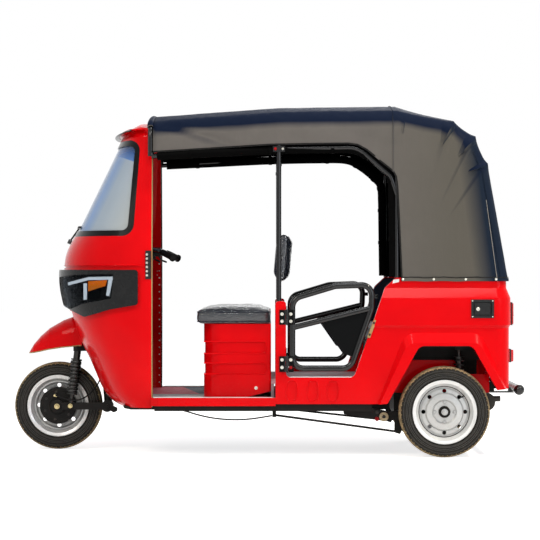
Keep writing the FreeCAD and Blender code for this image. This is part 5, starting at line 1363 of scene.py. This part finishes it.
strikers = [sweptShape([(581, side * 612.2, 723), (546, side * 612.2, 630)], stripSection(16, 8),
                       hint=(0, side, 0)) for _, side in sides]
addShapes("latch_strikers", strikers, tanNylon)
strikerSpots = [((x, side * 620, z), (0, side, 0))
                for _, side in sides for x, z in ((575, 707), (552, 646))]
addBolts("striker_bolts", strikerSpots, 4.5, 4, darkBolt)

# Bright tread strips along the doorways, low by the driver and higher by the tub
treads = []
for _, side in sides:
    treads.append(sweptShape([(-585, side * 584, 314.3), (46, side * 584, 314.3)],
                             [(-24, -0.6), (24, -0.6), (24, 0.8), (-24, 0.8)]))
    for x0, x1, z, y0, y1 in ((-580, 40, 315.0, 604, 566), (118, 470, 421.3, 606, 588)):
        for number in range(5):
            y = y0 + (y1 - y0) * number / 4
            treads.append(sweptShape([(x0 + 4 * (number % 2), side * y, z),
                                      (x1 - 4 * (number % 2), side * y, z)],
                                     [(-3.6, 0), (3.6, 0), (3.2, 1.8), (0, 2.6), (-3.2, 1.8)]))
addShapes("tread_strips", treads, aluminium)

# Pressed rings round the three dents in each side, and a bead along the sill's lower edge
rings = []
for _, side in sides:
    for x in (144, 255, 360):
        line = []
        for step in range(32):
            turn = 2 * math.pi * step / 32
            line.append((x + 29 * math.copysign(abs(math.cos(turn)) ** 0.7, math.cos(turn)), side * 612.4,
                         350.5 + 55 * math.copysign(abs(math.sin(turn)) ** 0.7, math.sin(turn))))
        rings.append(sweptShape(line, roundSection(2.6, 8), hint=(0, side, 0), closed=True))
    rings.append(sweptShape([(-540, side * 611.6, 274), (54, side * 611.6, 274)], roundSection(3.6, 8),
                            hint=(0, side, 0)))
addShapes("pressed_beads", rings, red)

# Rims of the two raised bands pressed into the seat box's sides
rims = []
for _, side in sides:
    for low, high in ((434, 492), (543, 606)):
        line = [(-322, side * boxFace, high), (-4, side * boxFace, high), (3, side * boxFace, high - 2),
                (6, side * boxFace, high - 9), (6, side * boxFace, low + 9), (3, side * boxFace, low + 2),
                (-4, side * boxFace, low), (-322, side * boxFace, low)]
        rims.append(sweptShape(line, roundSection(3.0, 8), hint=(0, side, 0)))
addShapes("seat_box_rims", rims, red)


# A line round the front body at one level: front and half width at the door, drawn a little outside
def noseLine(front, halfWidth, z, low=-90, high=90, steps=60, power=0.8):
    line = []
    for step in range(steps + 1):
        turn = math.radians(low + (high - low) * step / steps)
        side = math.copysign(abs(math.sin(turn)) ** power, math.sin(turn))
        line.append(Vector((-597 - (-597 - front) * abs(math.cos(turn)) ** power, halfWidth * side, z)))
    return line


seam = sweptShape(noseLine(-1099, 555.6, 1010)[1:-1], roundSection(2.6, 8), hint=(0, 0, 1))
addShapes("cowl_seam", [seam], red)
lipRows = []
for near, far in zip(noseLine(-795, 520, 0, -62, 62), noseLine(-818, 541, 0, -62, 62)):
    z = 1731 - 0.25 * max(0.0, -720 - near.x)
    lipRows += [(near.x, near.y, z), (far.x, far.y, z - 9), (far.x, far.y, z - 14), (near.x, near.y, z - 8)]
lipFaces = gridFaces(61, 4)
addPiece("visor_lip", lipRows, lipFaces + [(0, 1, 2, 3), (243, 242, 241, 240)], gasketRubber, "body")
# Edge of the front fender: (x, height, half width)
fenderLine = [(-1297, 526, 6), (-1273, 529, 42), (-1235, 536, 68), (-1185, 548, 90), (-1108, 560, 106),
              (-1047, 566, 114), (-1003, 570, 116)]
edges = [sweptShape([(x, side * (width + 0.5), low + 2.5) for x, low, width in fenderLine],
                    roundSection(3.2, 8), hint=(0, 0, 1)) for side in (-1, 1)]
addShapes("fender_edges", edges, tanNylon, "steering")
coil = []
for step in range(9 * 24 + 1):
    share = step / (9 * 24)
    z = 313 + 178 * share
    middleX = -1061 + 37 * (z - 259) / 283
    coil.append((middleX + 26 * math.cos(math.pi * step / 12), -106 + 26 * math.sin(math.pi * step / 12), z))
addShapes("front_coil", [sweptShape(coil, roundSection(5.8, 8), hint=(0, 0, 1))], springPaint, "steering",
          60)
skid = [(-752, 262), (-745, 250), (-712, 243), (-545, 243), (-530, 262)]
addShapes("front_skid", [plateShape(skid, -470, 470, 6)], chassisCoat)
tabs = [plateShape([(672, 914), (706, 922), (708, 938), (676, 934)], side * 606.5, side * 610.5, 0.8)
        for _, side in sides]
addShapes("hood_tabs", tabs, aluminium)

# The fuel flap's lock with its key slot, and the frame's corner screws
lockFace = ((1120, -624, 780), (0, -1, 0))
lock = [turnedShape([(3.5, 0), (9.5, 0), (9.5, 1.6), (8.4, 2.4), (3.5, 2.2)], *lockFace, 28),
        turnedShape([(0.1, 0.4), (3.4, 0.4), (3.4, 1.2), (0.1, 1.2)], *lockFace, 16)]
addShapes("flap_lock", lock, zincSteel, "fuel_flap")
corners = [((x, -623.9, z), (0, -1, 0)) for x in (1091, 1197) for z in (740, 823)]
addShapes("frame_screws", [domeShapes(corners, 3.2, 1.8)], zincSteel)

# Black lining behind the rear edge of each doorway
linings = [plateShape([(690, 946), (735, 946), (728, 1420), (684, 1420)], side * 583, side * 585.4, 0.8)
           for _, side in sides]
addShapes("doorway_linings", linings, liningCloth)

# Rolled side curtains tied up under the roof, with their straps
curtainLine = [(-566, 0, 1586), (-300, 0, 1600), (30, 0, 1616), (300, 0, 1622), (470, 0, 1618),
               (560, 0, 1575), (640, 0, 1508), (668, 0, 1466), (674, 0, 1380), (676, 0, 1250),
               (678, 0, 1100), (680, 0, 952)]
shapes, straps = [], []
for _, side in sides:
    line = softLine([(x, side * (548 if x < -500 else 571), z) for x, _, z in curtainLine], 7)
    section = [(a * (1 + 0.1 * math.sin(3 * i)), b * (1 + 0.08 * math.cos(2 * i)))
               for i, (a, b) in enumerate(roundSection(22, 16))]
    shapes.append(sweptShape(line, section, hint=(0, 1, 0)))
    for index in range(5, len(line) - 4, 9):
        ahead = (line[index + 1] - line[index - 1]).normalized()
        straps.append(turnedShape([(23.4, -9), (25.2, -9), (25.2, 9), (23.4, 9)], line[index], ahead, 24))
addShapes("rolled_curtains", shapes, liningCloth, "body", 60)
addShapes("curtain_straps", straps, liningCloth)

# Under the floor: the arms' pivot bushes, their bolts and the bolts of the stops
bushes, bolts = [], []
for _, side in sides:
    bushes.append(turnedShape([(6, 0), (25, 0), (25, 5), (23, 8), (8, 8), (6, 5)], (632, side * 500.2, 208),
                              (0, side, 0), 36))
    bolts += [((632, side * 508, 208), (0, side, 0)), ((596, side * boxFace, 232), (0, side, 0))]
addShapes("pivot_bushes", bushes, paleFibre)
addBolts("pivot_bolts", bolts, 6.5, 8, darkBolt)
stops = [((596, side * boxFace, 196), (0, side, 0)) for _, side in sides]
addBolts("stop_bolts", stops, 8, 8, redBolt)

# Tailgate: two catches and the plate's border; the rear lamps get bezels and clear lenses
catch = [turnedShape([(0.1, 0), (13, 0), (13, 5), (10, 8), (0.1, 8)], (1298, y, 436), (1, 0, 0), 28,
                     closed=False) for y in (-330, 330)]
border = [(1301.6, -118, 562), (1301.6, 118, 562), (1301.6, 118, 678), (1301.6, -118, 678)]
borderLine = []
for (xa, ya, za), (_, yb, zb) in zip(border, border[1:] + border[:1]):
    borderLine += [(xa, ya + (yb - ya) * s / 6, za + (zb - za) * s / 6) for s in range(6)]
catch.append(sweptShape(borderLine, roundSection(2.2, 8), hint=(1, 0, 0), closed=True))
addShapes("tailgate_catches", catch, darkBolt, "tailgate")
bezels, lenses = [], []
for _, side in sides:
    for z0, z1 in ((697, 811), (501, 564)):
        line = []
        for (y0, za), (y1, zb) in zip([(438, z0 - 2), (537, z0 - 2), (537, z1 + 2), (438, z1 + 2)],
                                      [(537, z0 - 2), (537, z1 + 2), (438, z1 + 2), (438, z0 - 2)]):
            line += [(1306 if z0 > 600 else 1299, side * (y0 + (y1 - y0) * s / 5), za + (zb - za) * s / 5)
                     for s in range(5)]
        bezels.append(sweptShape(line, [(-2, -3), (2, -3), (2, 3), (-2, 3)], hint=(1, 0, 0), closed=True))
    lenses.append(plateShape([(1311.5, 742), (1317.6, 742), (1317.6, 765), (1311.5, 765)], side * 446,
                             side * 529, 1.0))
addShapes("lamp_bezels", bezels, blackAbs)
addShapes("reverse_lenses", lenses, clearAcrylic)

# The dial in the dashboard's pod, with its bezel and hand
dial = [turnedShape([(0.1, 0), (47, 0), (47, 3), (0.1, 3)], (-821, -50, 1147), (1, 0, 0.12), 40,
                    closed=False)]
addShapes("speed_dial", dial, ledDiffuser)
dial = [turnedShape([(46, 0), (52, 0), (52, 6), (49, 8), (46, 6)], (-821, -50, 1147), (1, 0, 0.12), 40),
        turnedShape([(17, 0), (21, 0), (21, 5), (17, 5)], (-821, 62, 1147), (1, 0, 0.12), 28),
        sweptShape([(-816.5, -50, 1147), (-816.5, -76, 1166)], stripSection(3, 1.4), hint=(1, 0, 0))]
addShapes("dial_bezel", dial, darkBolt)


print("setting the stage")
stageLook = {"floorColour": "#f4f4f3", "floorGlow": 0.74, "skyStrength": 0.34, "sunPower": 430,
             "keyPower": 222, "fillPower": 100, "topPower": 70, "backPower": 60, "stripPower": 80}
floorMesh = bpy.data.meshes.new("studioFloor")
floorMesh.from_pydata([(-30, -14, 0), (30, -14, 0), (30, 40, 0), (-30, 40, 0)], [], [(0, 1, 2, 3)])
studioFloor = linkNew("studioFloor", floorMesh)


# Camera, glossy and transmission rays, which see the backdrop as white
def seenRays(tree):
    rays = addNode(tree, "ShaderNodeLightPath").outputs
    seen = addNode(tree, "ShaderNodeMath", {"operation": "MAXIMUM"},
                   {0: rays["Is Camera Ray"], 1: rays["Is Glossy Ray"]}).outputs[0]
    return addNode(tree, "ShaderNodeMath", {"operation": "MAXIMUM"},
                   {0: seen, 1: rays["Is Transmission Ray"]}).outputs[0]


# Pale matt floor that the camera and gloss see as white, with the shadow kept
def makeFloorFinish():
    material, tree, output = newMaterial("matStudioFloor")
    matt = addNode(tree, "ShaderNodeBsdfDiffuse", None, {"Color": linear(stageLook["floorColour"])})
    glow = addNode(tree, "ShaderNodeEmission", None,
                   {"Color": (1, 1, 1, 1), "Strength": stageLook["floorGlow"]})
    both = addNode(tree, "ShaderNodeAddShader", None, {0: matt.outputs[0], 1: glow.outputs[0]})
    mixed = addNode(tree, "ShaderNodeMixShader", None,
                    {0: seenRays(tree), 1: matt.outputs[0], 2: both.outputs[0]})
    tree.links.new(mixed.outputs[0], output.inputs[0])
    return material


floorMesh.materials.append(makeFloorFinish())

world = bpy.data.worlds.new("paleStudio")
bpy.context.scene.world = world
world.use_nodes = True
world.node_tree.nodes.clear()
sky = world.node_tree
lightSky = addNode(sky, "ShaderNodeBackground", None,
                   {"Color": linear("#eef2f8"), "Strength": stageLook["skyStrength"]})
whiteSky = addNode(sky, "ShaderNodeBackground", None, {"Color": (1, 1, 1, 1), "Strength": 1.0})
skyMix = addNode(sky, "ShaderNodeMixShader", None,
                 {0: seenRays(sky), 1: lightSky.outputs[0], 2: whiteSky.outputs[0]})
skyOut = addNode(sky, "ShaderNodeOutputWorld")
sky.links.new(skyMix.outputs[0], skyOut.inputs[0])


def addLamp(name, place, target, width, height, power, colourHex):
    lamp = bpy.data.lights.new(name, "AREA")
    lamp.shape, lamp.size, lamp.size_y = "RECTANGLE", width, height
    lamp.energy, lamp.color = power, linear(colourHex)[:3]
    holder = linkNew(name, lamp)
    holder.location = place
    holder.rotation_euler = (Vector(target) - Vector(place)).to_track_quat("-Z", "Y").to_euler()
    return holder


addLamp("sunLamp", (4.7, -2.2, 6.66), (-0.1, -0.3, 0.6), 0.5, 0.5, stageLook["sunPower"], "#fff4e4")
addLamp("keyLamp", (-4.2, -6.0, 5.2), (-0.2, 0, 0.9), 2.6, 2.6, stageLook["keyPower"], "#fff6ea")
addLamp("fillLamp", (4.5, -6.5, 2.2), (0.2, 0, 0.8), 3.0, 3.0, stageLook["fillPower"], "#eaf1ff")
addLamp("topLamp", (0.4, -1.0, 5.6), (0, -0.6, 1.0), 3.0, 0.7, stageLook["topPower"], "#f4f8ff")
addLamp("stripLamp", (0.8, -5.5, 6.0), (0.2, 0, 1.0), 4.0, 0.45, stageLook["stripPower"], "#ffffff")
addLamp("backLamp", (1.5, 6.5, 4.0), (0, 0, 1.0), 3.0, 2.0, stageLook["backPower"], "#ffffff")

# Level, 12.5 m from the middle of the vehicle, as the photograph was taken
cameraLook = {"sensorMm": 36, "lensMm": 151, "place": (0.029, -12.5, 0.985)}
camera = bpy.data.cameras.new("sideCamera")
camera.sensor_width = cameraLook["sensorMm"]
camera.lens = cameraLook["lensMm"]
camera.clip_end = 100
cameraHolder = linkNew("sideCamera", camera)
cameraHolder.location = cameraLook["place"]
cameraHolder.rotation_euler = (math.radians(90), 0, 0)
bpy.context.scene.camera = cameraHolder
bpy.context.scene.view_settings.view_transform = "Standard"

print("done")
